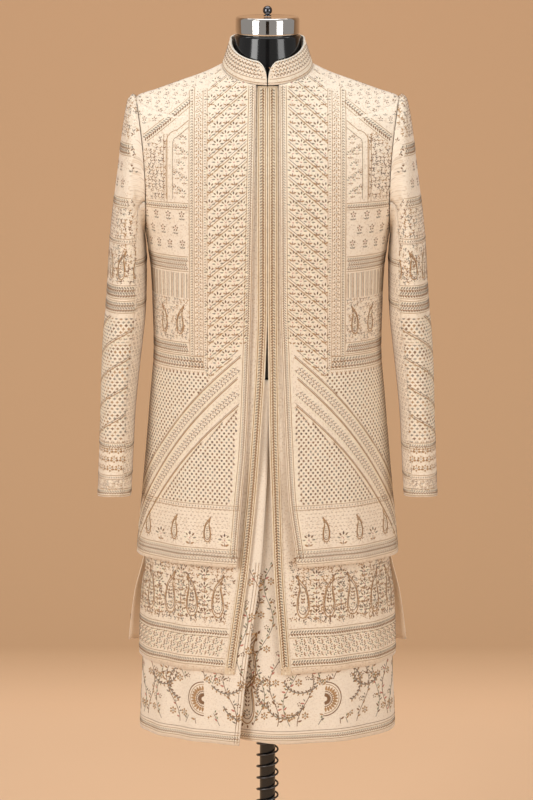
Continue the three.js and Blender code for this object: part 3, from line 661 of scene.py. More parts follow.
SPRIG = (
    fan_of(7, 118, 8.6, 4.2, (PALE,), 0, 0, 1.0)
    + fan_of(5, 84, 6.4, 2.8, (GREY, BROWN, UMBER, BROWN, GREY), 0, 0, 2.4)
    + [(0, -8.8, 0, 7.0, 1.4, BROWN), (0, -7.2, -62, 6.0, 2.6, GOLD), (0, -7.2, 62, 6.0, 2.6, GOLD)]
    + [(0, -1.4, 0, 2.6, 2.4, PINK)]
)
BUTI = (
    ring(5, 0.9, 3.3, 2.5, BROWN, 0, 0, 3.4)
    + [(0, 2.6, 0, 1.7, 1.7, PINK), (0, -4.2, 0, 5.4, 1.1, GREY)]
    + fan_of(2, 62, 3.8, 1.9, (GREY, GREY), 0, -3.2, 0.3)
)
LEAFLET = [(0, 0, -36, 5.0, 2.3, GOLD), (0, 0, 36, 5.0, 2.3, BROWN), (0, 0.8, 0, 5.6, 2.3, PALE)]


def lattice(s0, s1, z0, z1, width, height, stagger=True):
    """Centres of a lattice over a box, every other row moved half a cell."""
    rows = np.arange(z0 + height / 2, z1, height)
    s, z = [], []
    for k, level in enumerate(rows):
        line = np.arange(s0 + width * (0.5 if k % 2 and stagger else 0), s1, width)
        s.append(line)
        z.append(np.full(len(line), level))
    if not s:
        return np.zeros(0), np.zeros(0)
    return np.concatenate(s), np.concatenate(z)


def between(x0, x1, z0, z1):
    return lambda x, y, z: (np.abs(x) >= x0) & (np.abs(x) < x1) & (z >= z0) & (z < z1)


def jaal(work, s0, s1, z0, z1, keep=None, cell=8.0, colours=(GOLD, BROWN, GREY, PALE)):
    """A close net of leaves on curling stems."""
    s, z = lattice(s0, s1, z0, z1, cell, cell * 0.74)
    s = s + rng.uniform(-0.8, 0.8, len(s))
    z = z + rng.uniform(-0.8, 0.8, len(s))
    pick = rng.random(len(s))
    turn = rng.uniform(-0.6, 0.6, len(s)) + np.where((np.round(z / cell) % 2) == 0, 0.8, -0.8)
    for colour, low, high in zip(colours, (0, 0.40, 0.66, 0.82), (0.40, 0.66, 0.82, 1.01)):
        chosen = (pick >= low) & (pick < high)
        for bend, size in ((0, 0.82), (1.15, 0.62), (-1.15, 0.62)):
            leaf = cell * size
            work.leaves(s[chosen], z[chosen] - 2, turn[chosen] + bend, leaf, leaf * 0.44, colour, keep)
    work.beads(s + cell * 0.45, z + 1, 0.8, UMBER, keep)


def border(work, s, z, wide, colour=GOLD, keep=None, pitch=5.0, fill=True):
    """Two cords on each side of a line, with leaves and beads between. Positive is to its left."""
    s, z = np.asarray(s, float), np.asarray(z, float)
    ds, dz = np.gradient(s), np.gradient(z)
    size = np.hypot(ds, dz) + 1e-9
    ns, nz = -dz / size, ds / size
    for side in (-1, 1):
        work.cord(s + ns * side * wide / 2, z + nz * side * wide / 2, 1.3, colour, keep)
        if wide > 8:
            inner = wide / 2 - 1.7
            work.cord(s + ns * side * inner, z + nz * side * inner, 1.0, PALE, keep, 0.5)
    if not fill:
        return
    along = np.concatenate([[0], np.cumsum(np.hypot(np.diff(s), np.diff(z)))])
    room = max(wide - 4.0, 2.5)
    lanes = max(1, round(room / 7.5))
    size = min(room / lanes * 0.72, 6.4)
    for lane in range(lanes):
        off = room * ((lane + 0.5) / lanes - 0.5)
        places = np.arange(pitch * (0.5 + 0.5 * (lane % 2)), along[-1], pitch)
        ps, pz = np.interp(places, along, s + ns * off), np.interp(places, along, z + nz * off)
        heading = np.arctan2(np.interp(places, along, ds), np.interp(places, along, dz))
        sets = ((0.9, BROWN, 1.0), (-0.9, GREY, 1.0), (2.3, GOLD, 0.75), (-2.3, PALE, 0.75))
        for turn, tone, share in sets:
            work.leaves(ps, pz, heading + turn, size * share, size * share * 0.5, tone, keep, 0.8)
        work.beads(ps, pz, 0.9, UMBER, keep)


def rows_of_cords(work, s0, s1, z0, z1, gap, colours, keep=None, lean=0.0):
    """Close upright cords between two heights."""
    for k, s in enumerate(np.arange(s0, s1, gap)):
        z = np.linspace(z1, z0, max(3, int((z1 - z0) / 9)))
        work.cord(s + lean * (z1 - z), z, gap * 0.5, colours[k % len(colours)], keep, 0.4)


def net(work, s0, s1, z0, z1, keep=None, cell=9.0, dots=(BROWN, GOLD, GREY)):
    """Pale cords crossing in an even net, with a dark stitch and a small leaf in each cell."""
    run = z1 - z0
    z = np.linspace(z1, z0, int(run / 7))
    for s in np.arange(s0 - run, s1 + run, cell):
        for lean in (-0.8, 0.8):
            work.cord(s + lean * (z1 - z), z, 1.5, PALE, keep, 0.55)
    s, z = lattice(s0, s1, z0, z1, cell, cell / 1.6)
    pick = rng.integers(0, len(dots), len(s))
    tone = np.array(dots)[pick]
    work.leaves(s, z - cell * 0.42, 0.0, cell * 0.66, cell * 0.4, tone, keep, 0.8)
    work.leaves(s, z - cell * 0.1, 1.57, cell * 0.34, cell * 0.3, tone, keep, 0.8)
    work.leaves(s, z - cell * 0.1, -1.57, cell * 0.34, cell * 0.3, tone, keep, 0.8)


def paisley(work, s, z, size=1.0, flip=1, keep=None):
    """A teardrop with a curled tip, a double cord round it and leaves inside."""
    t = np.linspace(0, 2 * math.pi, 44)
    swell = np.sin(t / 2) ** 1.5
    x = 10.5 * np.sin(t) * swell + 5 * (np.cos(t / 2) ** 4) * flip * np.sign(math.pi - t) * 0
    y = 25 * np.cos(t)
    x = x + flip * 6.5 * smoothstep(4, 25, y) ** 2
    for scale, width, colour in ((1.0, 2.6, GOLD), (0.8, 1.6, BROWN), (0.58, 1.4, PALE)):
        work.cord(s + x * scale * size, z + (y * scale - 2 * (1 - scale)) * size, width, colour, keep)
    inner = stem(0, 4, 4.6, 2.2, BROWN, 4.0) + ring(6, 0.8, 3.6, 2.4, GREY, 0, 0, -6)
    work.leaves(*spread([(a, b - 8, c, d, e, f) for a, b, c, d, e, f in inner], s, z, size), keep)
    edge = np.arange(3, 42, 3)
    out = np.arctan2(x[edge] * 2.2, y[edge])
    edge_s = s + x[edge] * 1.1 * size
    edge_z = z + y[edge] * 1.04 * size
    work.leaves(edge_s, edge_z, out, 4.6 * size, 2.4 * size, BROWN, keep, 0.7)


# ---- Materials ---------------------------------------------------------------------------------


def group(name, inputs, outputs):
    tree = bpy.data.node_groups.new(name, "ShaderNodeTree")
    for label, kind, value in inputs:
        socket = tree.interface.new_socket(label, in_out="INPUT", socket_type=kind)
        if value is not None:
            socket.default_value = value
    for label, kind in outputs:
        tree.interface.new_socket(label, in_out="OUTPUT", socket_type=kind)
    return tree, tree.nodes.new("NodeGroupInput"), tree.nodes.new("NodeGroupOutput")


def node(tree, kind, settings=None, **values):
    made = tree.nodes.new(kind)
    for key, value in (settings or {}).items():
        setattr(made, key, value)
    for key, value in values.items():
        made.inputs[key.replace("_", " ")].default_value = value
    return made


def ramp(tree, source, stops):
    made = tree.nodes.new("ShaderNodeValToRGB")
    elements = made.color_ramp.elements
    while len(elements) < len(stops):
        elements.new(0.5)
    for element, (position, colour) in zip(elements, stops):
        element.position = position
        element.color = colour
    tree.links.new(source, made.inputs["Fac"])
    return made


def mix_colour(tree, factor, a, b, how="MIX"):
    made = tree.nodes.new("ShaderNodeMix")
    made.data_type = "RGBA"
    made.blend_type = how
    for socket, value in ((made.inputs[0], factor), (made.inputs[6], a), (made.inputs[7], b)):
        if isinstance(value, bpy.types.NodeSocket):
            tree.links.new(value, socket)
        else:
            socket.default_value = value
    return made.outputs[2]


def math_node(tree, how, a, b=None):
    made = tree.nodes.new("ShaderNodeMath")
    made.operation = how
    for socket, value in zip(made.inputs, (a, b)):
        if value is None:
            continue
        if isinstance(value, bpy.types.NodeSocket):
            tree.links.new(value, socket)
        else:
            socket.default_value = value
    return made.outputs[0]


def weave_group():
    """Plain silk: warp and weft bumps and slubs, from coordinates in metres."""
    tree, given, out = group(
        "silk_weave",
        [("Vector", "NodeSocketVector", None), ("Threads", "NodeSocketFloat", 2200.0)],
        [("Height", "NodeSocketFloat"), ("Slub", "NodeSocketFloat")],
    )
    link = tree.links.new
    parts = node(tree, "ShaderNodeSeparateXYZ")
    link(given.outputs["Vector"], parts.inputs[0])
    across = math_node(tree, "SINE", math_node(tree, "MULTIPLY", parts.outputs[0], given.outputs["Threads"]))
    down = math_node(tree, "SINE", math_node(tree, "MULTIPLY", parts.outputs[1], given.outputs["Threads"]))
    link(math_node(tree, "MULTIPLY", across, down), out.inputs["Height"])
    stretched = node(tree, "ShaderNodeMapping", Scale=(60, 900, 60))
    link(given.outputs["Vector"], stretched.inputs["Vector"])
    slub = node(tree, "ShaderNodeTexNoise", Scale=1.0, Detail=3.0)
    link(stretched.outputs[0], slub.inputs["Vector"])
    link(slub.outputs["Fac"], out.inputs["Slub"])
    return tree


def fill_group():
    """Small stitched filling between the raised motifs: specks of thread 2 to 4 mm long."""
    tree, given, out = group(
        "stitched_fill",
        [("Vector", "NodeSocketVector", None), ("Scale", "NodeSocketFloat", 300.0)],
        [("Mask", "NodeSocketFloat"), ("Tone", "NodeSocketFloat"), ("Height", "NodeSocketFloat")],
    )
    link = tree.links.new
    cells = node(tree, "ShaderNodeTexVoronoi", {"feature": "F1"}, Randomness=0.75)
    link(given.outputs["Vector"], cells.inputs["Vector"])
    link(given.outputs["Scale"], cells.inputs["Scale"])
    mask = node(tree, "ShaderNodeMapRange")
    mask.inputs["From Min"].default_value = 0.52
    mask.inputs["From Max"].default_value = 0.30
    link(cells.outputs["Distance"], mask.inputs["Value"])
    link(mask.outputs[0], out.inputs["Mask"])
    tone = node(tree, "ShaderNodeSeparateColor")
    link(cells.outputs["Color"], tone.inputs[0])
    link(tone.outputs[0], out.inputs["Tone"])
    link(mask.outputs[0], out.inputs["Height"])
    return tree


def marks_group():
    """Handling marks on a hard finish: a soft mask, and a roughness between two values."""
    tree, given, out = group(
        "handling_marks",
        [
            ("Vector", "NodeSocketVector", None),
            ("Scale", "NodeSocketFloat", 14.0),
            ("Low", "NodeSocketFloat", 0.1),
            ("High", "NodeSocketFloat", 0.2),
        ],
        [("Mask", "NodeSocketFloat"), ("Roughness", "NodeSocketFloat")],
    )
    link = tree.links.new
    marks = node(tree, "ShaderNodeTexNoise", Detail=5.0, Roughness=0.6)
    link(given.outputs["Vector"], marks.inputs["Vector"])
    link(given.outputs["Scale"], marks.inputs["Scale"])
    rough = node(tree, "ShaderNodeMapRange")
    link(given.outputs["Low"], rough.inputs["To Min"])
    link(given.outputs["High"], rough.inputs["To Max"])
    link(marks.outputs["Fac"], rough.inputs["Value"])
    link(marks.outputs["Fac"], out.inputs["Mask"])
    link(rough.outputs[0], out.inputs["Roughness"])
    return tree


def surface(name):
    material = bpy.data.materials.new(name)
    material.use_nodes = True
    tree = material.node_tree
    return material, tree, tree.nodes["Principled BSDF"]


def use_group(tree, shared, **values):
    made = tree.nodes.new("ShaderNodeGroup")
    made.node_tree = shared
    for key, value in values.items():
        if isinstance(value, bpy.types.NodeSocket):
            tree.links.new(value, made.inputs[key])
        else:
            made.inputs[key].default_value = value
    return made


def cloth_material(name, ground, specks, amount, rough=0.62, sheen=0.5):
    """Ivory silk with a fine stitched filling. amount is how strongly the filling shows."""
    material, tree, shader = surface(name)
    link = tree.links.new
    place = node(tree, "ShaderNodeUVMap", {"uv_map": "cloth"})
    weave = use_group(tree, WEAVE, Vector=place.outputs[0])
    fill = use_group(tree, FILL, Vector=place.outputs[0], Scale=330.0)
    fine = use_group(tree, FILL, Vector=place.outputs[0], Scale=700.0)
    tones = ramp(tree, fill.outputs["Tone"], [(0.0, specks[0]), (0.4, specks[1]), (0.75, specks[2])])
    tones.color_ramp.interpolation = "CONSTANT"
    shown = math_node(tree, "MULTIPLY", fill.outputs["Mask"], amount)
    base = mix_colour(tree, weave.outputs["Slub"], ground, tuple(v * 0.86 for v in ground[:3]) + (1,))
    base = mix_colour(tree, math_node(tree, "MULTIPLY", fine.outputs["Mask"], amount * 0.4), base, specks[0])
    link(mix_colour(tree, shown, base, tones.outputs[0]), shader.inputs["Base Color"])
    filled = math_node(tree, "MULTIPLY", fill.outputs["Height"], 0.8)
    height = math_node(tree, "ADD", filled, weave.outputs["Height"])
    bump = node(tree, "ShaderNodeBump", Strength=0.35, Distance=0.0006)
    link(height, bump.inputs["Height"])
    link(bump.outputs[0], shader.inputs["Normal"])
    spread_out = node(tree, "ShaderNodeMapRange")
    spread_out.inputs["To Min"].default_value = rough
    spread_out.inputs["To Max"].default_value = rough - 0.16
    link(fill.outputs["Tone"], spread_out.inputs["Value"])
    link(spread_out.outputs[0], shader.inputs["Roughness"])
    shader.inputs["Sheen Weight"].default_value = sheen
    shader.inputs["Sheen Roughness"].default_value = 0.4
    return material


def thread_material(name):
    """Twisted thread: the stitch's own colour, broken by fine strands and a soft sheen."""
    material, tree, shader = surface(name)
    link = tree.links.new
    place = node(tree, "ShaderNodeTexCoord")
    colour = node(tree, "ShaderNodeAttribute", {"attribute_name": "thread"})
    strands = node(tree, "ShaderNodeTexNoise", Scale=1400.0, Detail=3.0, Roughness=0.7)
    link(place.outputs["Object"], strands.inputs["Vector"])
    patches = node(tree, "ShaderNodeTexNoise", Scale=45.0, Detail=2.0)
    link(place.outputs["Object"], patches.inputs["Vector"])
    own = colour.outputs["Color"]
    darker = mix_colour(tree, strands.outputs["Fac"], own, (0.55, 0.5, 0.44, 1), "MULTIPLY")
    link(mix_colour(tree, patches.outputs["Fac"], own, darker), shader.inputs["Base Color"])
    bump = node(tree, "ShaderNodeBump", Strength=0.4, Distance=0.0004)
    link(strands.outputs["Fac"], bump.inputs["Height"])
    link(bump.outputs[0], shader.inputs["Normal"])
    rough = node(tree, "ShaderNodeMapRange")
    rough.inputs["To Min"].default_value = 0.3
    rough.inputs["To Max"].default_value = 0.6
    link(strands.outputs["Fac"], rough.inputs["Value"])
    link(rough.outputs[0], shader.inputs["Roughness"])
    shader.inputs["Sheen Weight"].default_value = 0.25
    return material


def gloss_material(name, colour, metallic, low, high, scale, coat=0.0):
    """A hard finish whose roughness and tone vary with handling marks."""
    material, tree, shader = surface(name)
    link = tree.links.new
    place = node(tree, "ShaderNodeTexCoord")
    marks = use_group(tree, MARKS, Vector=place.outputs["Object"], Scale=scale, Low=low, High=high)
    link(marks.outputs["Roughness"], shader.inputs["Roughness"])
    lighter = tuple(min(1, v * 1.35 + 0.002) for v in colour[:3]) + (1,)
    link(mix_colour(tree, marks.outputs["Mask"], colour, lighter), shader.inputs["Base Color"])
    bump = node(tree, "ShaderNodeBump", Strength=0.04, Distance=0.001)
    link(marks.outputs["Mask"], bump.inputs["Height"])
    link(bump.outputs[0], shader.inputs["Normal"])
    shader.inputs["Metallic"].default_value = metallic
    shader.inputs["Coat Weight"].default_value = coat
    return material


WEAVE = weave_group()
FILL = fill_group()
MARKS = marks_group()
IVORY = shade(246, 231, 211)
SPECKS = (shade(190, 152, 106), shade(150, 112, 72), shade(246, 232, 206))
JACKET = cloth_material("jacket_cloth", IVORY, SPECKS, 0.34)
COAT_CLOTH = cloth_material("coat_cloth", IVORY, SPECKS, 0.34)
PLAIN = cloth_material("coat_lining", shade(247, 226, 200), SPECKS, 0.06)
TIER_CLOTH = cloth_material("tier_cloth", shade(246, 232, 213), SPECKS, 0.16)
BAND = cloth_material("band_cloth", shade(226, 204, 174), SPECKS, 0.6)
PIPING = cloth_material("piping_cloth", shade(250, 244, 230), SPECKS, 0.05, 0.45)
THREAD = thread_material("embroidery_thread")
BLACK = gloss_material("form_gloss_black", (0.004, 0.004, 0.0045, 1), 0, 0.1, 0.18, 9, 0.15)
CHROME = gloss_material("cap_chrome", (0.6, 0.57, 0.54, 1), 1, 0.03, 0.09, 14)
DARK_CHROME = gloss_material("knob_dark_chrome", (0.09, 0.09, 0.1, 1), 1, 0.05, 0.12, 30)
STAND = gloss_material("stand_black", (0.005, 0.005, 0.0055, 1), 0, 0.14, 0.24, 18, 0.1)
SPRING_STEEL = gloss_material("spring_steel", (0.1, 0.1, 0.105, 1), 0.9, 0.28, 0.4, 60)


# ---- Making meshes -------------------------------------------------------------------------------


def object_from(name, mesh, materials):
    made = bpy.data.objects.new(name, mesh)
    bpy.context.scene.collection.objects.link(made)
    for material in materials:
        mesh.materials.append(material)
    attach(made, "root")
    return made


def array_mesh(name, points, faces):
    mesh = bpy.data.meshes.new(name)
    mesh.vertices.add(len(points))
    mesh.vertices.foreach_set("co", (np.asarray(points) * MM).astype(np.float32).ravel())
    size = faces.shape[1]
    mesh.loops.add(faces.size)
    mesh.loops.foreach_set("vertex_index", faces.astype(np.int32).ravel())
    mesh.polygons.add(len(faces))
    mesh.polygons.foreach_set("loop_start", np.arange(0, faces.size, size, dtype=np.int32))
    mesh.polygons.foreach_set("use_smooth", np.ones(len(faces), bool))
    mesh.update(calc_edges=True)
    return mesh


def cloth_object(cloth, thick, materials):
    """The panel as a shell of its real thickness, with its distances round and up as a UV map in metres."""
    points = cloth.points * ((-1, 1, 1) if cloth.mirror else (1, 1, 1))
    rows, columns = cloth.s.shape
    index = np.arange(rows * columns).reshape(rows, columns)
    a, b, c, d = index[:-1, :-1], index[1:, :-1], index[1:, 1:], index[:-1, 1:]
    quads = np.stack([a, b, c, d], -1).reshape(-1, 4)
    p = points.reshape(-1, 3)[quads[len(quads) // 2]]
    n = cloth.normals.reshape(-1, 3)[quads[len(quads) // 2, 0]] * ((-1, 1, 1) if cloth.mirror else (1, 1, 1))
    if np.dot(np.cross(p[1] - p[0], p[2] - p[0]), n) < 0:
        quads = quads[:, ::-1]
    mesh = array_mesh(cloth.name, points.reshape(-1, 3), quads)
    uv = mesh.uv_layers.new(name="cloth")
    places = np.stack([cloth.s, cloth.z], -1).reshape(-1, 2)[quads.ravel()] * MM
    uv.data.foreach_set("uv", places.astype(np.float32).ravel())
    made = object_from(cloth.name, mesh, materials)
    shell = made.modifiers.new("thickness", "SOLIDIFY")
    shell.thickness = thick * MM
    shell.offset = -1
    if len(materials) > 1:
        shell.material_offset = 1
        shell.material_offset_rim = 1
    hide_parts(NODES[cloth.name])
    return made


def stitched(work):
    cloth = work.cloth
    points = np.concatenate(work.points) * ((-1, 1, 1) if cloth.mirror else (1, 1, 1))
    faces = np.concatenate(work.faces)
    if cloth.mirror:
        faces = faces[:, ::-1]
    mesh = array_mesh(f"{cloth.name}_embroidery", points, faces)
    colours = np.array(THREADS)[np.concatenate(work.colours).astype(int)]
    vary = rng.uniform(0.86, 1.1, (len(colours), 1))
    colours[:, :3] *= vary
    layer = mesh.color_attributes.new("thread", "FLOAT_COLOR", "POINT")
    layer.data.foreach_set("color", np.clip(colours, 0, 1).astype(np.float32).ravel())
    return object_from(mesh.name, mesh, [THREAD])


NODES = {
    "collar": "collar",
    "jacket_left": "jacket_front_left",
    "jacket_right": "jacket_front_right",
    "jacket_back": "jacket_back",
    "coat_left": "coat_front_left",
    "coat_right": "coat_front_right",
    "coat_back": "coat_back",
    "tier_left": "tier_front_left",
    "tier_right": "tier_front_right",
    "tier_back": "tier_back",
    "sleeve_top_left": "sleeve_top_left",
    "sleeve_top_right": "sleeve_top_right",
    "sleeve_under_left": "sleeve_under_left",
    "sleeve_under_right": "sleeve_under_right",
}


# ---- The embroidery of each panel ----------------------------------------------------------------


def line(a, b, count=60):
    return np.linspace(a, b, count)


def wavy_rope(work, s, z, keep=None, size=2.2):
    """A rope of slanting stitches along a line."""
    s, z = np.asarray(s, float), np.asarray(z, float)
    along = np.concatenate([[0], np.cumsum(np.hypot(np.diff(s), np.diff(z)))])
    places = np.arange(0, along[-1], size * 0.9)
    ps, pz = np.interp(places, along, s), np.interp(places, along, z)
    heading = np.arctan2(np.gradient(ps), np.gradient(pz)) + 0.6
    work.leaves(ps, pz, heading, size * 1.9, size * 0.8, GOLD, keep)


def by_x(cloth, x, z):
    z = np.broadcast_to(np.asarray(z, float), np.shape(x) or np.shape(z)).astype(float)
    return cloth.s_at(x, z), z


def jacket_front(cloth):
    work = Stitches(cloth)
    edge = cloth.edge_at
    z = line(1500, 700, 240)
    border(work, edge(z) + 7, z, 10.5, GOLD, None, 4.2)
    work.cord(edge(z) + 14.5, z, 1.4, PALE)
    work.beads(edge(z) + 16.6, z, 0.8, PALE)
    centre_panel(work, cloth)
    side_panel(work, cloth)
    fan(work, cloth)
    lower = lambda x, y, z: z < 790
    hem_rows(work, cloth, 684, lower)
    return work


def centre_panel(work, cloth):
    keep = lambda x, y, z: (z > 1056 - 1.25 * (np.abs(x) - 45)) & (np.abs(x) < 98)
    s, z = lattice(42, 125, 980, 1500, 27, 14)
    work.leaves(*spread(SPRIG, s, z, 1.22, 0.12), keep, 0.7)
    for level in np.arange(1004, 1640, 28):
        rise = line(0, 1, 30)
        s, z = 34 + rise * 74, level - rise * 62
        wavy_rope(work, s, z, keep, 3.0)
        work.cord(s, z - 3.6, 1.5, PALE, keep)
        # Painted shadow: the umber cord beside each rope stands for the rope's shadow, laid as a dark cord.
        work.cord(s, z + 3.2, 1.0, UMBER, keep)
    rows = line(1478, 1016, 150)
    for x, wide in ((103.5, 7.5), (125.5, 9)):
        s, z = by_x(cloth, np.full(150, x), rows)
        border(work, s, z, wide, GOLD, None, 4.4)
    s, z = by_x(cloth, np.full(44, 114.0), line(1468, 1022, 44))
    work.leaves(*spread(FLOWER, s, z, 1.15))
    work.leaves(*spread(LEAFLET, s - 4.5, z + 5, 0.9))
    work.leaves(*spread(LEAFLET, s + 4.5, z + 5, 0.9))


def side_panel(work, cloth):
    x, z = line(126, 203, 50), line(1461, 1400, 50)
    s, z = by_x(cloth, x, z)
    border(work, s, z, 13, GOLD, None, 4.6)
    above = lambda x, y, z: (z > 1474 - (x - 126) * 0.78) & (x > 92)
    s, z = lattice(80, 260, 1420, 1520, 19, 13)
    work.leaves(*spread(BUTI, s, z, 1.2), above, 0.6)
    below = lambda x, y, z: (z < 1447 - (x - 126) * 0.78) & (z > 1297)
    column = lambda x, y, z: (x > 169) & below(x, y, z)
    jaal(work, 150, 330, 1290, 1430, column, 7.4, (BROWN, GOLD, UMBER, PALE))
    s, z = by_x(cloth, np.full(70, 169), line(1408, 1297, 70))
    border(work, s, z, 6, GOLD, None, 4, False)
    arch(work, cloth)
    for low, high in ((1285, 1296), (1181, 1206), (1041, 1060)):
        s = line(cloth.s_at(131, low)[0], 330, 70)
        border(work, s, np.full(70, (low + high) / 2), high - low, GOLD, None, 4.6)
    s, z = lattice(146, 330, 1212, 1284, 26, 24)
    work.leaves(*spread(BUTI, s, z, 1.5), between(133, 260, 1212, 1282), 0.7)
    start = cloth.s_at(132.0, 1150.0)[0]
    rows_of_cords(work, start, 330, 1136, 1178, 2.7, (GOLD, BROWN, PALE, GREY))
    for k, x in enumerate((146, 172, 194)):
        s = cloth.s_at(float(x), 1098.0)[0]
        paisley(work, s, 1098, 0.95, 1 if k % 2 else -1)
    jaal(work, start, 330, 1062, 1134, between(131, 260, 1062, 1134), 6.6, (PALE, GOLD, GREY, BROWN))
    border(work, line(start - 30, 330, 90), np.full(90, 1027.0), 22, GOLD, lambda x, y, z: x > 100, 6)


def arch(work, cloth):
    """A tall niche with a slanting top and a flowering bush in it."""
    for grow, tone, width in ((0, GOLD, 1.6), (-9, PALE, 1.4), (-11, BROWN, 1.1)):
        t = line(0, math.pi / 2, 24)
        x = np.concatenate([np.full(30, 168 + grow), 150 + (18 + grow) * np.cos(t), line(148, 131, 12)])
        top = line(1416, 1430, 12) + grow
        z = np.concatenate([line(1302, 1392, 30), 1392 + (22 + grow) * np.sin(t), top])
        s, z = by_x(cloth, x, z)
        work.cord(s, z, width, tone)
    x = np.array([141, 152, 138, 150, 143, 137, 148, 140], float)
    z = np.array([1312, 1318, 1334, 1342, 1358, 1376, 1382, 1400], float)
    s, z = by_x(cloth, x, z)
    work.leaves(*spread(SPRIG, s, z, 0.95))
    work.leaves(*spread(FLOWER, s + 5, z + 7, 0.9))


FAN = [
    (45, 1040, 192, 858),
    (48, 1022, 192, 840),
    (50, 1003, 192, 818),
    (49, 982, 192, 800),
    (48, 958, 192, 776),
]


def fan_line(cloth, x0, z0, x1, z1):
    t = line(0, 1, 60)
    x = x0 + (x1 - x0) * t
    z = z0 + (z1 - z0) * (0.72 * t + 0.28 * t**3)
    s, z = by_x(cloth, x, z)
    tail = line(0, 1, 30)[1:] * 130
    slope = max((z[-1] - z[-4]) / (s[-1] - s[-4]), -1.5)
    return np.concatenate([s, s[-1] + tail]), np.concatenate([z, z[-1] + slope * tail])


def fan(work, cloth):
    """Sweeping double lines from the front edge down to the side, with flowers and nets between."""
    edge = cloth.edge_at
    lines_down = [fan_line(cloth, *row) for row in FAN]
    for k, (s, z) in enumerate(lines_down):
        if k in (0, 2, 4):
            work.cord(s, z, 2.0, GOLD, None, 0.8)
            work.cord(s + 0.6, z - 3.4, 1.3, PALE, None, 0.7)
            work.cord(s - 0.6, z + 3.4, 1.1, BROWN)
        else:
            border(work, s, z, 17, PALE, None, 6.2)
    top_s, top_z = lines_down[0]
    low_s, low_z = lines_down[-1]
    order = np.argsort(top_s)
    limit = lambda s: np.interp(s, top_s[order], top_z[order])
    under = lambda s: np.interp(s, low_s[order], low_z[order])
    panel_net(work, cloth, lambda s, z: (z < 1012) & (z > limit(s) + 6) & (s > cloth.s_at(98, 1000)[0]))
    panel_net(work, cloth, lambda s, z: (z < under(s) - 5) & (z > 790) & (s > edge(z) + 19))


def panel_net(work, cloth, inside, cell=8.2):
    """The net wherever inside says, from places rather than from x."""
    step = cell / 1.6
    s, z = lattice(20, 340, 780, 1018, cell, step)
    chosen = inside(s, z)
    s, z = s[chosen], z[chosen]
    for lean in (-0.675, 0.675):
        work.leaves(s + cell / 4 * np.sign(lean), z - step / 2 - 3.6, lean, 8.6, 1.9, PALE, None, 1.1)
        work.leaves(s - cell / 4 * np.sign(lean), z + step / 2 - 3.6, lean, 8.6, 1.8, GOLD, None, 0.55)
    tone = np.array((BROWN, UMBER, GREY, BROWN))[rng.integers(0, 4, len(s))]
    work.leaves(s, z - 2.8, 0.0, 5.6, 4.1, tone, None, 0.9)


def hem_rows(work, cloth, hem, keep):
    edge = float(cloth.edge_at(hem + 20))
    end = float(cloth.s[-1, -1])
    for k, s in enumerate(np.arange(edge + 22, end, 31)):
        if k % 2:
            paisley(work, s, hem + 62, 0.84, -1)
        else:
            work.leaves(*spread(SPRIG, s, hem + 46, 1.5), keep)
    s, z = lattice(edge + 18, end, hem + 38, hem + 100, 7.5, 6)
    work.leaves(*spread(LEAFLET, s, z, 0.62), keep)
    for level, wide in ((hem + 18, 24), (hem + 101, 7)):
        s = line(edge - 5, end, 110)
        border(work, s, np.full(110, float(level)), wide, GOLD, None, 5.4)
    s = line(edge - 5, end, 110)
    work.cord(s, np.full(110, hem + 18.0), 1.2, BROWN)


def coat_front(cloth):
    work = Stitches(cloth)
    edge = cloth.edge_at
    inner = lambda x, y, z: (x > edge(z) + 24) & (z < 700)
    end = float(cloth.s[-1, -1])
    for k, s in enumerate(np.arange(float(edge(620)) + 48, end, 46)):
        paisley(work, s, 630, 1.42, 1 if k % 2 else -1)
        work.leaves(*spread(SPRIG, s + 23, np.array([600.0, 622, 644, 666]), 1.25), inner, 0.8)
    jaal(work, 30, end, 585, 700, inner, 8.6, (GOLD, PALE, BROWN, GREY))
    for level, wide in ((569, 15), (518, 14)):
        s = line(float(edge(level)) + 20, end, 110)
        border(work, s, np.full(110, float(level)), wide, GOLD, None, 4.8)
    s, z = lattice(40, end, 528, 562, 15, 11)
    work.leaves(*spread(SPRIG, s, z + 1, 0.9, 1.2), inner, 0.8)
    return work


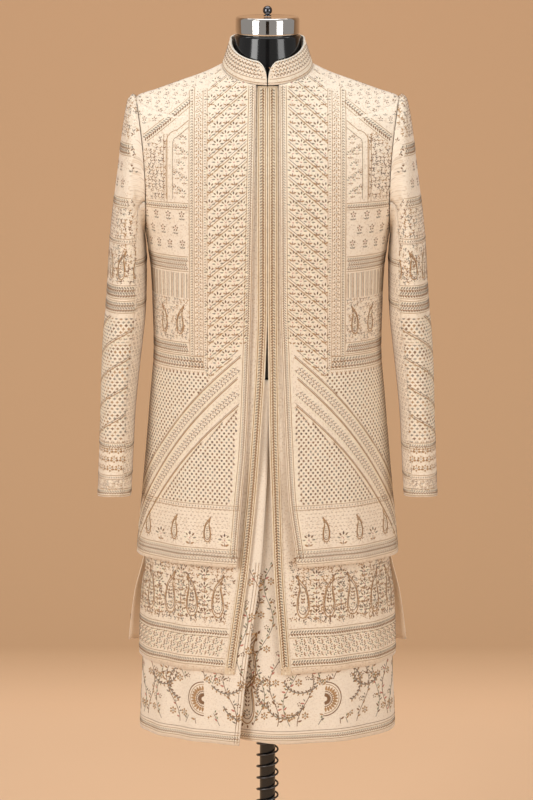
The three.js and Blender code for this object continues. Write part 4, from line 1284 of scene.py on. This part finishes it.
def tier_front(cloth, left):
    work = Stitches(cloth)
    edge = cloth.edge_at
    keep = lambda x, y, z: (z < 690) & (x * (-1 if cloth.mirror else 1) < 400)
    end = float(cloth.s[-1, -1])
    first = float(cloth.s[:, 0].min())
    z = line(690, 380, 150)
    work.cord(edge(z) + 4, z, 1.3, GOLD)
    work.cord(edge(z) + 9, z, 1.0, BROWN)
    s = line(first, end, 150)
    border(work, s, np.full(150, 389.0), 11, GOLD, None, 4.4)
    work.cord(s, np.full(150, 399.0), 1.1, BROWN)
    clear = lambda x, y, z: keep(x, y, z) & (np.hypot(np.abs(x) - 118, z - 452) > 34)
    for k, start in enumerate(np.arange(first + 14, end, 27)):
        z = line(408, 690, 84)
        phase = k * 1.7
        s = start + 11 * np.sin(z / 21 + phase) + (z - 405) * 0.05
        work.cord(s, z, 1.4, (BROWN, GREY)[k % 2], clear, 0.7)
        places = np.arange(2, 82, 3)
        turn = np.where(places % 2 == 0, 1.0, -1.0) + rng.uniform(-0.35, 0.35, len(places))
        tones = np.array((BROWN, GOLD, GREY, GOLD, PINK))[rng.integers(0, 5, len(places))]
        work.leaves(s[places], z[places], turn, 8.8, 3.5, tones, clear, 0.8)
        work.leaves(s[places], z[places] + 4, turn * 0.45, 6.5, 2.6, (GREY, GREEN)[k % 2], clear, 0.8)
        work.leaves(s[places] + 2 * turn, z[places] - 2, turn * 1.5, 7, 3.2, PALE, clear, 0.8)
        work.leaves(*spread(FLOWER, s[5::17] + 11, z[5::17], 1.35), clear, 0.9)
        work.leaves(*spread(SMALL_FLOWER, s[11::13] - 10, z[11::13], 1.1), clear, 0.8)
    for s0, z0, radius, turn, sweep in SCROLLS:
        a = turn + line(0, sweep, 50)
        fade = radius * (1 - 0.25 * line(0, 1, 50))
        s, z = s0 + fade * np.sin(a), z0 + fade * np.cos(a)
        work.cord(s, z, 2.4, GREY, keep, 1.0)
        along = a[2:-2:5] + math.pi / 2
        work.leaves(s[2:-2:5], z[2:-2:5], along + 0.8, 6.6, 2.9, BROWN, keep, 0.9)
        work.leaves(s[2:-2:5], z[2:-2:5], along - 0.8, 6.6, 2.9, GOLD, keep, 0.9)
    medallion(work, 112, 452, keep)
    if left:
        for s, z, size in ((-24, 520, 1.9), (-22, 452, 1.7), (-28, 645, 1.5)):
            paisley(work, s, z, size, 1)
    return work


# Scrolling stems on the lowest layer: centre, radius, start angle and sweep.
SCROLLS = [
    (40, 455, 38, 1.9, 2.6),
    (66, 500, 40, 2.2, 2.0),
    (150, 470, 34, 0.3, 2.4),
    (20, 470, 30, 3.4, 2.2),
    (190, 500, 36, 2.0, 2.4),
]


def medallion(work, s, z, keep):
    for radius, width, tone in ((29, 2.4, BROWN), (25, 1.4, GOLD), (13, 2.0, BROWN)):
        a = line(0, math.pi, 40)
        work.cord(s + radius * np.sin(a), z + radius * np.cos(a), width, tone, keep)
    a = np.radians(np.arange(6, 180, 14))
    work.leaves(s + 13 * np.sin(a), z + 13 * np.cos(a), a, 11, 4.6, GOLD, keep, 1.0)
    work.leaves(s + 3 * np.sin(a), z + 3 * np.cos(a), a, 9, 3.4, BROWN, keep, 0.9)


def sleeve_top(cloth):
    work = Stitches(cloth)
    reach = 175
    band = lambda low, high, tilt=0.0, pitch=4.6: border(
        work,
        line(-reach, reach, 130),
        (low + high) / 2 + tilt * line(-reach, reach, 130),
        high - low,
        GOLD,
        None,
        pitch,
    )
    jaal(work, -reach, reach, 1400, 1490, None, 7.4)
    band(1370, 1390)
    s, z = lattice(-reach, reach, 1308, 1366, 27, 27)
    work.leaves(*spread(BUTI, s, z, 1.55), None, 0.7)
    band(1284, 1300)
    jaal(work, -reach, reach, 1234, 1282, None, 7.4)
    band(1224, 1232, 0, 4)
    for k, s in enumerate(np.arange(-145, 150, 29)):
        paisley(work, s, 1188, 0.95, 1 if k % 2 else -1)
    jaal(work, -reach, reach, 1158, 1222, None, 7.4, (PALE, GOLD, GREY, BROWN))
    band(1132, 1154)
    band(1108, 1128)
    middle = lambda x, y, z: (z > 888) & (z < 1104)
    net(work, -reach, reach, 888, 1104, middle, 9.0)
    for drop in (0, 46, 92, 138, 184, 230):
        s = line(-reach, reach, 90)
        z = 1104 - drop + 0.55 * np.abs(s) - 40
        work.cord(s, z, 2.0, GOLD, middle, 0.9)
        work.cord(s, z - 4.0, 1.3, PALE, middle, 0.9)
        work.cord(s, z + 3.4, 1.1, BROWN, middle, 0.9)
    band(878, 888, 0, 4)
    s, z = lattice(-reach, reach, 838, 876, 15, 15)
    work.leaves(*spread(FLOWER, s, z, 1.3))
    work.leaves(*spread(LEAFLET, s + 7.5, z - 4, 1.2))
    band(826, 833, 0, 4)
    jaal(work, -reach, reach, 808, 824, None, 6.0)
    s = line(-reach, reach, 130)
    last = np.interp(s, cloth.s[-1], cloth.z[-1])
    border(work, s, last + 8, 11, GOLD, None, 4.4)
    return work


def sleeve_under(cloth):
    work = Stitches(cloth)
    low, high = float(cloth.s.min()), float(cloth.s.max())
    keep = lambda x, y, z: (z < 1170) & (z > 812)
    s, z = lattice(low, high, 812, 1170, 11, 8)
    work.leaves(*spread(SMALL_FLOWER, s, z, 0.9), keep)
    for level in (1190, 1120, 880, 830):
        s = line(low, high, 60)
        border(work, s, np.full(60, float(level)), 10, GOLD, None, 5)
    s = line(low, high, 60)
    border(work, s, np.interp(s, cloth.s[-1], cloth.z[-1]) + 8, 11, GOLD, None, 4.4)
    return work


def collar_work(cloth):
    work = Stitches(cloth)
    reach = 230
    base = lambda s: np.interp(s, cloth.s[-1], cloth.z[-1])
    for lift, width, tone in ((3.0, 1.6, GOLD), (6.2, 1.2, PALE), (9.0, 1.4, GOLD)):
        s = line(-reach, reach, 260)
        work.cord(s, base(s) + lift, width, tone)
    s = np.arange(-reach, reach, 6.2)
    for k, lift in enumerate((13.0, 18.5, 24.0, 29.5)):
        ps = s + (3.1 if k % 2 else 0)
        work.leaves(ps, base(ps) + lift, 0.8, 5.4, 2.8, (BROWN, GOLD)[k % 2], None, 0.6)
        work.leaves(ps, base(ps) + lift, -0.8, 5.0, 2.6, (GOLD, GREY)[k % 2], None, 0.6)
        work.leaves(ps + 3.0, base(ps) + lift, 2.4, 4.0, 2.2, UMBER, None, 0.6)
        work.leaves(ps + 3.0, base(ps) + lift + 1, 0.0, 4.2, 2.0, PALE, None, 0.6)
        work.beads(ps + 1.6, base(ps) + lift + 2.6, 1.0, BROWN)
    return work


def back_work(cloth, top, hem):
    """The back and the hidden parts are worked more openly, in the same borders and sprigs."""
    work = Stitches(cloth)
    end = float(cloth.s[-1, -1])
    keep = lambda x, y, z: (z < top) & (z > hem + 34)
    s, z = lattice(-end, end, hem + 34, top, 21, 17)
    work.leaves(*spread(BUTI, s, z, 1.1), keep)
    for level, wide in ((hem + 18, 20), (hem + 34, 7)):
        s = line(-end, end, 200)
        border(work, s, np.full(200, float(level)), wide, GOLD, None, 6.5)
    return work


# ---- Form and stand ------------------------------------------------------------------------------

FORM = [
    (1565, 55, 53, 54, 0, 0, 2),
    (1548, 56, 53, 54, 2, 0, 2),
    (1528, 59, 53, 55, 12, -2, 2),
    (1511, 68, 55.5, 57, 27, -2, 2),
    (1497, 100, 61, 68, 33, 2, 2),
    (1481, 142, 69, 80, 35, 6, 2),
    (1463, 180, 77, 90, 36, 9, 2),
    (1436, 196, 87, 100, 31, 9, 2.05),
    (1400, 198, 100, 109, 22, 6, 2.1),
    (1340, 196, 117, 117, 8, 1, 2.15),
    (1270, 190, 125, 117, 0, 0, 2.2),
    (1190, 178, 121, 109, 0, 0, 2.2),
    (1110, 163, 113, 99, 0, 0, 2.2),
    (1040, 155, 107, 95, 0, 0, 2.2),
    (960, 160, 104, 93, 0, 0, 2.1),
    (880, 166, 102, 98, 0, 0, 2.1),
    (800, 168, 100, 102, 0, 0, 2.1),
    (735, 160, 94, 97, 0, 0, 2.1),
    (703, 141, 81, 86, 0, 0, 2.05),
    (692, 110, 60, 65, 0, 0, 2),
]


def finished(bm, name, material, slot, *nodes):
    bmesh.ops.recalc_face_normals(bm, faces=bm.faces)
    for face in bm.faces:
        face.smooth = True
    mesh = bpy.data.meshes.new(name)
    bm.to_mesh(mesh)
    bm.free()
    made = object_from(name, mesh, [material])
    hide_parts(*nodes)
    return made


def turned(name, profile, material, slot, node_name, steps=96):
    """A profile of (radius, height) in mm turned about the upright axis."""
    bm = bmesh.new()
    points = [bm.verts.new((r * MM, 0, z * MM)) for r, z in profile]
    edges = [bm.edges.new(pair) for pair in zip(points, points[1:])]
    bmesh.ops.spin(
        bm,
        geom=points + edges,
        cent=(0, 0, 0),
        axis=(0, 0, 1),
        angle=2 * math.pi,
        steps=steps,
        use_merge=True,
    )
    bmesh.ops.remove_doubles(bm, verts=bm.verts, dist=1e-6)
    made = finished(bm, name, material, slot, node_name)
    made.data.set_sharp_from_angle(angle=math.radians(40))
    return made


def rounded(corners, radius=0.8, steps=4):
    """A profile with small rounds at its corners."""
    out = [corners[0]]
    for before, here, after in zip(corners, corners[1:], corners[2:]):
        a = Vector(before) - Vector(here)
        b = Vector(after) - Vector(here)
        cut = min(radius, a.length / 2.2, b.length / 2.2)
        p, q = Vector(here) + a.normalized() * cut, Vector(here) + b.normalized() * cut
        for k in range(steps + 1):
            t = k / steps
            out.append(tuple(p * (1 - t) ** 2 + 2 * Vector(here) * t * (1 - t) + q * t * t))
    out.append(corners[-1])
    return out


def form_body():
    bm = bmesh.new()
    loops = []
    neck, trunk, base = np.linspace(1565, 1463, 26), np.linspace(1463, 720, 60), np.linspace(720, 692, 9)
    heights = np.concatenate([neck, trunk[1:], base[1:]])
    shares = np.linspace(0, 1, 29)
    for z in heights:
        row = sample(FORM, NAMES, z)
        edge = (row["width"], 0)
        front = half_section(row, -1, 0, shares, edge)
        back = half_section(row, 1, 0, shares, edge)
        side = np.concatenate([front, back[-2::-1]])
        whole = np.concatenate([side, side[-2:0:-1] * (-1, 1, 1)])
        points = [bm.verts.new(p * MM) for p in whole]
        loops.append([bm.edges.new((points[k - 1], points[k])) for k in range(len(points))])
    for above, below in zip(loops, loops[1:]):
        bmesh.ops.bridge_loops(bm, edges=above + below)
    bmesh.ops.holes_fill(bm, edges=[e for e in bm.edges if e.is_boundary])
    return finished(bm, "form_shell", BLACK, "form_cover", "form_body")


def spring():
    radius, wire, pitch, bottom, turns = 17.8, 1.7, 20.5, 44, 22
    bm = bmesh.new()
    tilt = Matrix.Rotation(math.radians(90), 3, "X")
    circle = bmesh.ops.create_circle(bm, cap_ends=False, radius=wire * MM, segments=10)
    bmesh.ops.rotate(bm, verts=circle["verts"], cent=(0, 0, 0), matrix=tilt)
    bmesh.ops.translate(bm, verts=circle["verts"], vec=(radius * MM, 0, bottom * MM))
    steps = turns * 36
    bmesh.ops.spin(
        bm,
        geom=list(bm.verts) + list(bm.edges),
        cent=(0, 0, 0),
        axis=(0, 0, 1),
        dvec=(0, 0, pitch * turns * MM / steps),
        angle=2 * math.pi * turns,
        steps=steps,
        use_merge=False,
    )
    bmesh.ops.holes_fill(bm, edges=[e for e in bm.edges if e.is_boundary])
    return finished(bm, "coil_spring", SPRING_STEEL, "spring_steel", "pole_spring")


def stand():
    side = [(51, 1565.4), (53.6, 1568), (53.6, 1592), (51.5, 1596), (46, 1595)]
    cap = rounded([(0, 1565.4), *side, (0, 1595.4)], 1.8)
    turned("cap_drum", cap, CHROME, "chrome", "neck_cap", 128)
    start = math.asin(3.6 / 7.8)
    ball = [(7.8 * math.sin(a), 1605.9 - 7.8 * math.cos(a)) for a in np.linspace(start, math.pi, 28)]
    foot = rounded([(0, 1596.3), (6.5, 1596.3), (6.5, 1597.9), (3.6, 1598.5)], 0.5)
    turned("knob_ball", foot + ball[:-1] + [(0, 1613.7)], DARK_CHROME, "dark_chrome", "cap_knob", 64)
    socket = rounded([(13.75, 663.6), (42, 663.6), (42, 691.6), (13.75, 691.6)], 1.5) + [(13.75, 663.6)]
    turned("socket_ring", socket, STAND, "stand_black", "form_socket")
    tube = rounded([(0, 10.4), (13.4, 10.4), (13.4, 691.2), (0, 691.2)], 0.6)
    turned("pole_tube", tube, STAND, "stand_black", "pole")
    hub = rounded([(13.75, 10.4), (34, 10.4), (34, 36), (28, 40), (13.75, 40)], 2.0) + [(13.75, 10.4)]
    turned("hub_ring", hub, STAND, "stand_black", "pole_hub")
    plate = rounded([(0, 0), (185, 0), (185, 7), (180, 10), (0, 10)], 1.6)
    turned("base_disc", plate, STAND, "stand_black", "base_plate", 160)
    spring()


# ---- Collar piping and the coat's front bands ----------------------------------------------------


def edge_strip(name, lines, material, node_name, uv_length):
    """A closed strip through four corner lines of points, in mm."""
    ring_points = np.stack(lines, 1)
    count = len(ring_points)
    index = np.arange(count * 4).reshape(count, 4)
    faces = []
    for k in range(4):
        a, b = index[:-1, k], index[:-1, (k + 1) % 4]
        c, d = index[1:, (k + 1) % 4], index[1:, k]
        faces.append(np.stack([a, b, c, d], -1))
    faces = np.concatenate(faces)
    ends = np.array([index[0, ::-1], index[-1]])
    faces = np.concatenate([faces, ends])
    mesh = array_mesh(name, ring_points.reshape(-1, 3), faces)
    uv = mesh.uv_layers.new(name="cloth")
    along = np.repeat(np.linspace(0, uv_length, count), 4)
    across = np.tile([0, 17.5, 17.5, 0], count)
    places = np.stack([across, along], -1)[faces.ravel()] * MM
    uv.data.foreach_set("uv", places.astype(np.float32).ravel())
    bm = bmesh.new()
    bm.from_mesh(mesh)
    bmesh.ops.recalc_face_normals(bm, faces=bm.faces)
    bm.to_mesh(mesh)
    bm.free()
    made = object_from(name, mesh, [material])
    made.data.set_sharp_from_angle(angle=math.radians(50))
    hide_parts(node_name)
    return made


def coat_band(cloth, node_name):
    """The band down a coat front, laid on its first 17.5 mm."""
    levels_down = cloth.z[:, 0]
    s0 = cloth.s[:, 0]
    outer, inner, n_outer, n_inner = [], [], [], []
    for inset, points, normals in ((0.6, outer, n_outer), (17.5, inner, n_inner)):
        r, c, _ = cloth.find(s0 + inset, levels_down.copy())
        p, n, _, _ = cloth.at(np.clip(r, 0, len(s0) - 1), c)
        points.append(p)
        normals.append(n)
    a, b, na, nb = outer[0], inner[0], n_outer[0], n_inner[0]
    lines = [a + na * 1.2, b + nb * 1.2, b + nb * 0.6, a + na * 0.6]
    if cloth.mirror:
        lines = [l * (-1, 1, 1) for l in lines]
    return edge_strip(f"{node_name}_strip", lines, BAND, node_name, 1010)


def band_work(cloth, node_name):
    raised = copy.copy(cloth)
    raised.points = cloth.points + cloth.normals * 1.2
    raised.name = node_name
    work = Stitches(raised)
    z = line(1482, 512, 320)
    s = cloth.edge_at(z)
    border(work, s + 8.9, z, 11.5, GOLD, None, 4.8)
    for inset in (1.6, 16.2):
        work.cord(s + inset, z, 1.3, PALE)
    return work


def collar_piping(cloth):
    """A cord of bright silk along the collar's top edge."""
    top, below, out = cloth.points[0], cloth.points[1], cloth.normals[0]
    up = top - below
    up /= np.linalg.norm(up, axis=1, keepdims=True)
    inner = out * -COLLAR["thick"]
    a = top + up * 0.4 + out * 0.3
    b = top + up * 2.4 + out * 0.1
    c = b + inner * 1.05
    d = top + up * 0.4 + inner * 1.15
    return edge_strip("collar_piping_cord", [a, b, c, d], PIPING, "collar_piping", 800)


# ---- The object ----------------------------------------------------------------------------------


def panel(cloth, thick, materials, work, extra=()):
    shell = cloth_object(cloth, thick, materials)
    extra = list(extra) + [stitched(work)]
    return shell


for side in ("left", "right"):
    jacket = front_cloth("jacket", side, 52)
    panel(jacket, 1.8, [JACKET, PLAIN], jacket_front(jacket))
    coat = front_cloth("coat", side, 38)
    panel(coat, 1.5, [COAT_CLOTH, PLAIN], coat_front(coat))
    strip = coat_band(coat, f"coat_band_{side}")
    stitches = stitched(band_work(coat, f"coat_band_{side}"))
    tier = front_cloth("tier", side, 48)
    panel(tier, 1.2, [TIER_CLOTH, PLAIN], tier_front(tier, side == "left"))
    top = sleeve_cloth("top", side, 54)
    panel(top, 1.8, [JACKET, PLAIN], sleeve_top(top))
    under = sleeve_cloth("under", side, 26)
    panel(under, 1.8, [JACKET, PLAIN], sleeve_under(under))

jacket = back_cloth("jacket", 80)
panel(jacket, 1.8, [JACKET, PLAIN], back_work(jacket, 1470, 684))
coat = back_cloth("coat", 60)
panel(coat, 1.5, [COAT_CLOTH, PLAIN], back_work(coat, 700, 507))
tier = back_cloth("tier", 70)
panel(tier, 1.2, [TIER_CLOTH, PLAIN], back_work(tier, 600, 377))
neck = collar_cloth()
piping = collar_piping(neck)
panel(neck, 2.2, [JACKET, PLAIN], collar_work(neck), extra=[piping])
form_body()
stand()

# ---- Room and light --------------------------------------------------------------------------------


def backdrop():
    """A floor that sweeps up into the wall behind, in one smooth sheet."""
    bm = bmesh.new()
    profile = [(-4.0, 0), (1.2, 0)]
    bend = 1.6
    for k in range(1, 17):
        a = math.pi / 2 * k / 16
        profile.append((1.2 + bend * math.sin(a), bend * (1 - math.cos(a))))
    profile.append((1.2 + bend, 6.0))
    points = [bm.verts.new((-7, y, z - 0.0005)) for y, z in profile]
    edges = [bm.edges.new(pair) for pair in zip(points, points[1:])]
    made = bmesh.ops.extrude_edge_only(bm, edges=edges)
    moved = [v for v in made["geom"] if isinstance(v, bmesh.types.BMVert)]
    bmesh.ops.translate(bm, verts=moved, vec=(14, 0, 0))
    bm.normal_update()
    bm.faces.ensure_lookup_table()
    if bm.faces[0].normal.z < 0:
        bmesh.ops.reverse_faces(bm, faces=bm.faces)
    for face in bm.faces:
        face.smooth = True
    mesh = bpy.data.meshes.new("backdrop")
    bm.to_mesh(mesh)
    bm.free()
    made = bpy.data.objects.new("backdrop", mesh)
    bpy.context.scene.collection.objects.link(made)
    material, tree, shader = surface("backdrop_paper")
    place = node(tree, "ShaderNodeTexCoord")
    parts = node(tree, "ShaderNodeSeparateXYZ")
    tree.links.new(place.outputs["Object"], parts.inputs[0])
    height = node(tree, "ShaderNodeMapRange")
    height.inputs["From Min"].default_value = 0.0
    height.inputs["From Max"].default_value = 1.6
    tree.links.new(parts.outputs[2], height.inputs["Value"])
    # Painted light: the floor is painted lighter than the wall of the same sheet, standing for the lamps'
    # light falling on it.
    stops = [
        (0.0, shade(240, 204, 168)),
        (0.012, shade(236, 198, 161)),
        (0.05, shade(198, 161, 125)),
        (1.0, shade(196, 160, 126)),
    ]
    tone = ramp(tree, height.outputs[0], stops)
    tree.links.new(tone.outputs[0], shader.inputs["Base Color"])
    shader.inputs["Roughness"].default_value = 0.9
    shader.inputs["Specular IOR Level"].default_value = 0.1
    facing = node(tree, "ShaderNodeNewGeometry")
    clear = node(tree, "ShaderNodeBsdfTransparent")
    both = node(tree, "ShaderNodeMixShader")
    tree.links.new(facing.outputs["Backfacing"], both.inputs[0])
    tree.links.new(shader.outputs[0], both.inputs[1])
    tree.links.new(clear.outputs[0], both.inputs[2])
    tree.links.new(both.outputs[0], tree.nodes["Material Output"].inputs["Surface"])
    mesh.materials.append(material)


def dark_card():
    """A black card behind the camera, which the chrome and the gloss black mirror."""
    bm = bmesh.new()
    bmesh.ops.create_grid(bm, x_segments=2, y_segments=2, size=0.5)
    bmesh.ops.scale(bm, verts=bm.verts, vec=(1.5, 4.4, 1))
    bmesh.ops.rotate(bm, verts=bm.verts, cent=(0, 0, 0), matrix=Matrix.Rotation(math.radians(90), 3, "X"))
    bmesh.ops.translate(bm, verts=bm.verts, vec=(0, -7.4, 2.4))
    mesh = bpy.data.meshes.new("dark_card")
    bm.to_mesh(mesh)
    bm.free()
    made = bpy.data.objects.new("dark_card", mesh)
    bpy.context.scene.collection.objects.link(made)
    mesh.materials.append(STAND)
    made.visible_camera = False


def area_light(name, place, target, size, power, colour):
    data = bpy.data.lights.new(name, "AREA")
    data.shape = "RECTANGLE"
    data.size, data.size_y = size
    data.energy = power
    data.color = colour
    made = bpy.data.objects.new(name, data)
    made.location = place
    made.rotation_euler = (Vector(target) - Vector(place)).to_track_quat("-Z", "Y").to_euler()
    bpy.context.scene.collection.objects.link(made)


backdrop()
dark_card()
area_light("key", (-2.8, -3.0, 2.1), (0, 0, 0.95), (1.6, 2.6), 92, (1.0, 0.985, 0.965))
area_light("fill", (2.9, -2.9, 1.7), (0, 0, 0.9), (1.6, 2.6), 58, (1.0, 0.985, 0.965))
area_light("top", (0, -0.4, 3.6), (0, 0, 1.0), (2.2, 1.6), 26, (1.0, 0.985, 0.965))
area_light("wash", (0, 0.4, 3.4), (0, 2.6, 1.2), (3.5, 0.8), 26, (1.0, 0.985, 0.965))
world = bpy.data.worlds.new("room")
world.use_nodes = True
world.node_tree.nodes["Background"].inputs["Color"].default_value = (1.0, 0.97, 0.94, 1)
world.node_tree.nodes["Background"].inputs["Strength"].default_value = 0.36
bpy.context.scene.world = world
bpy.context.scene.view_settings.view_transform = "Standard"
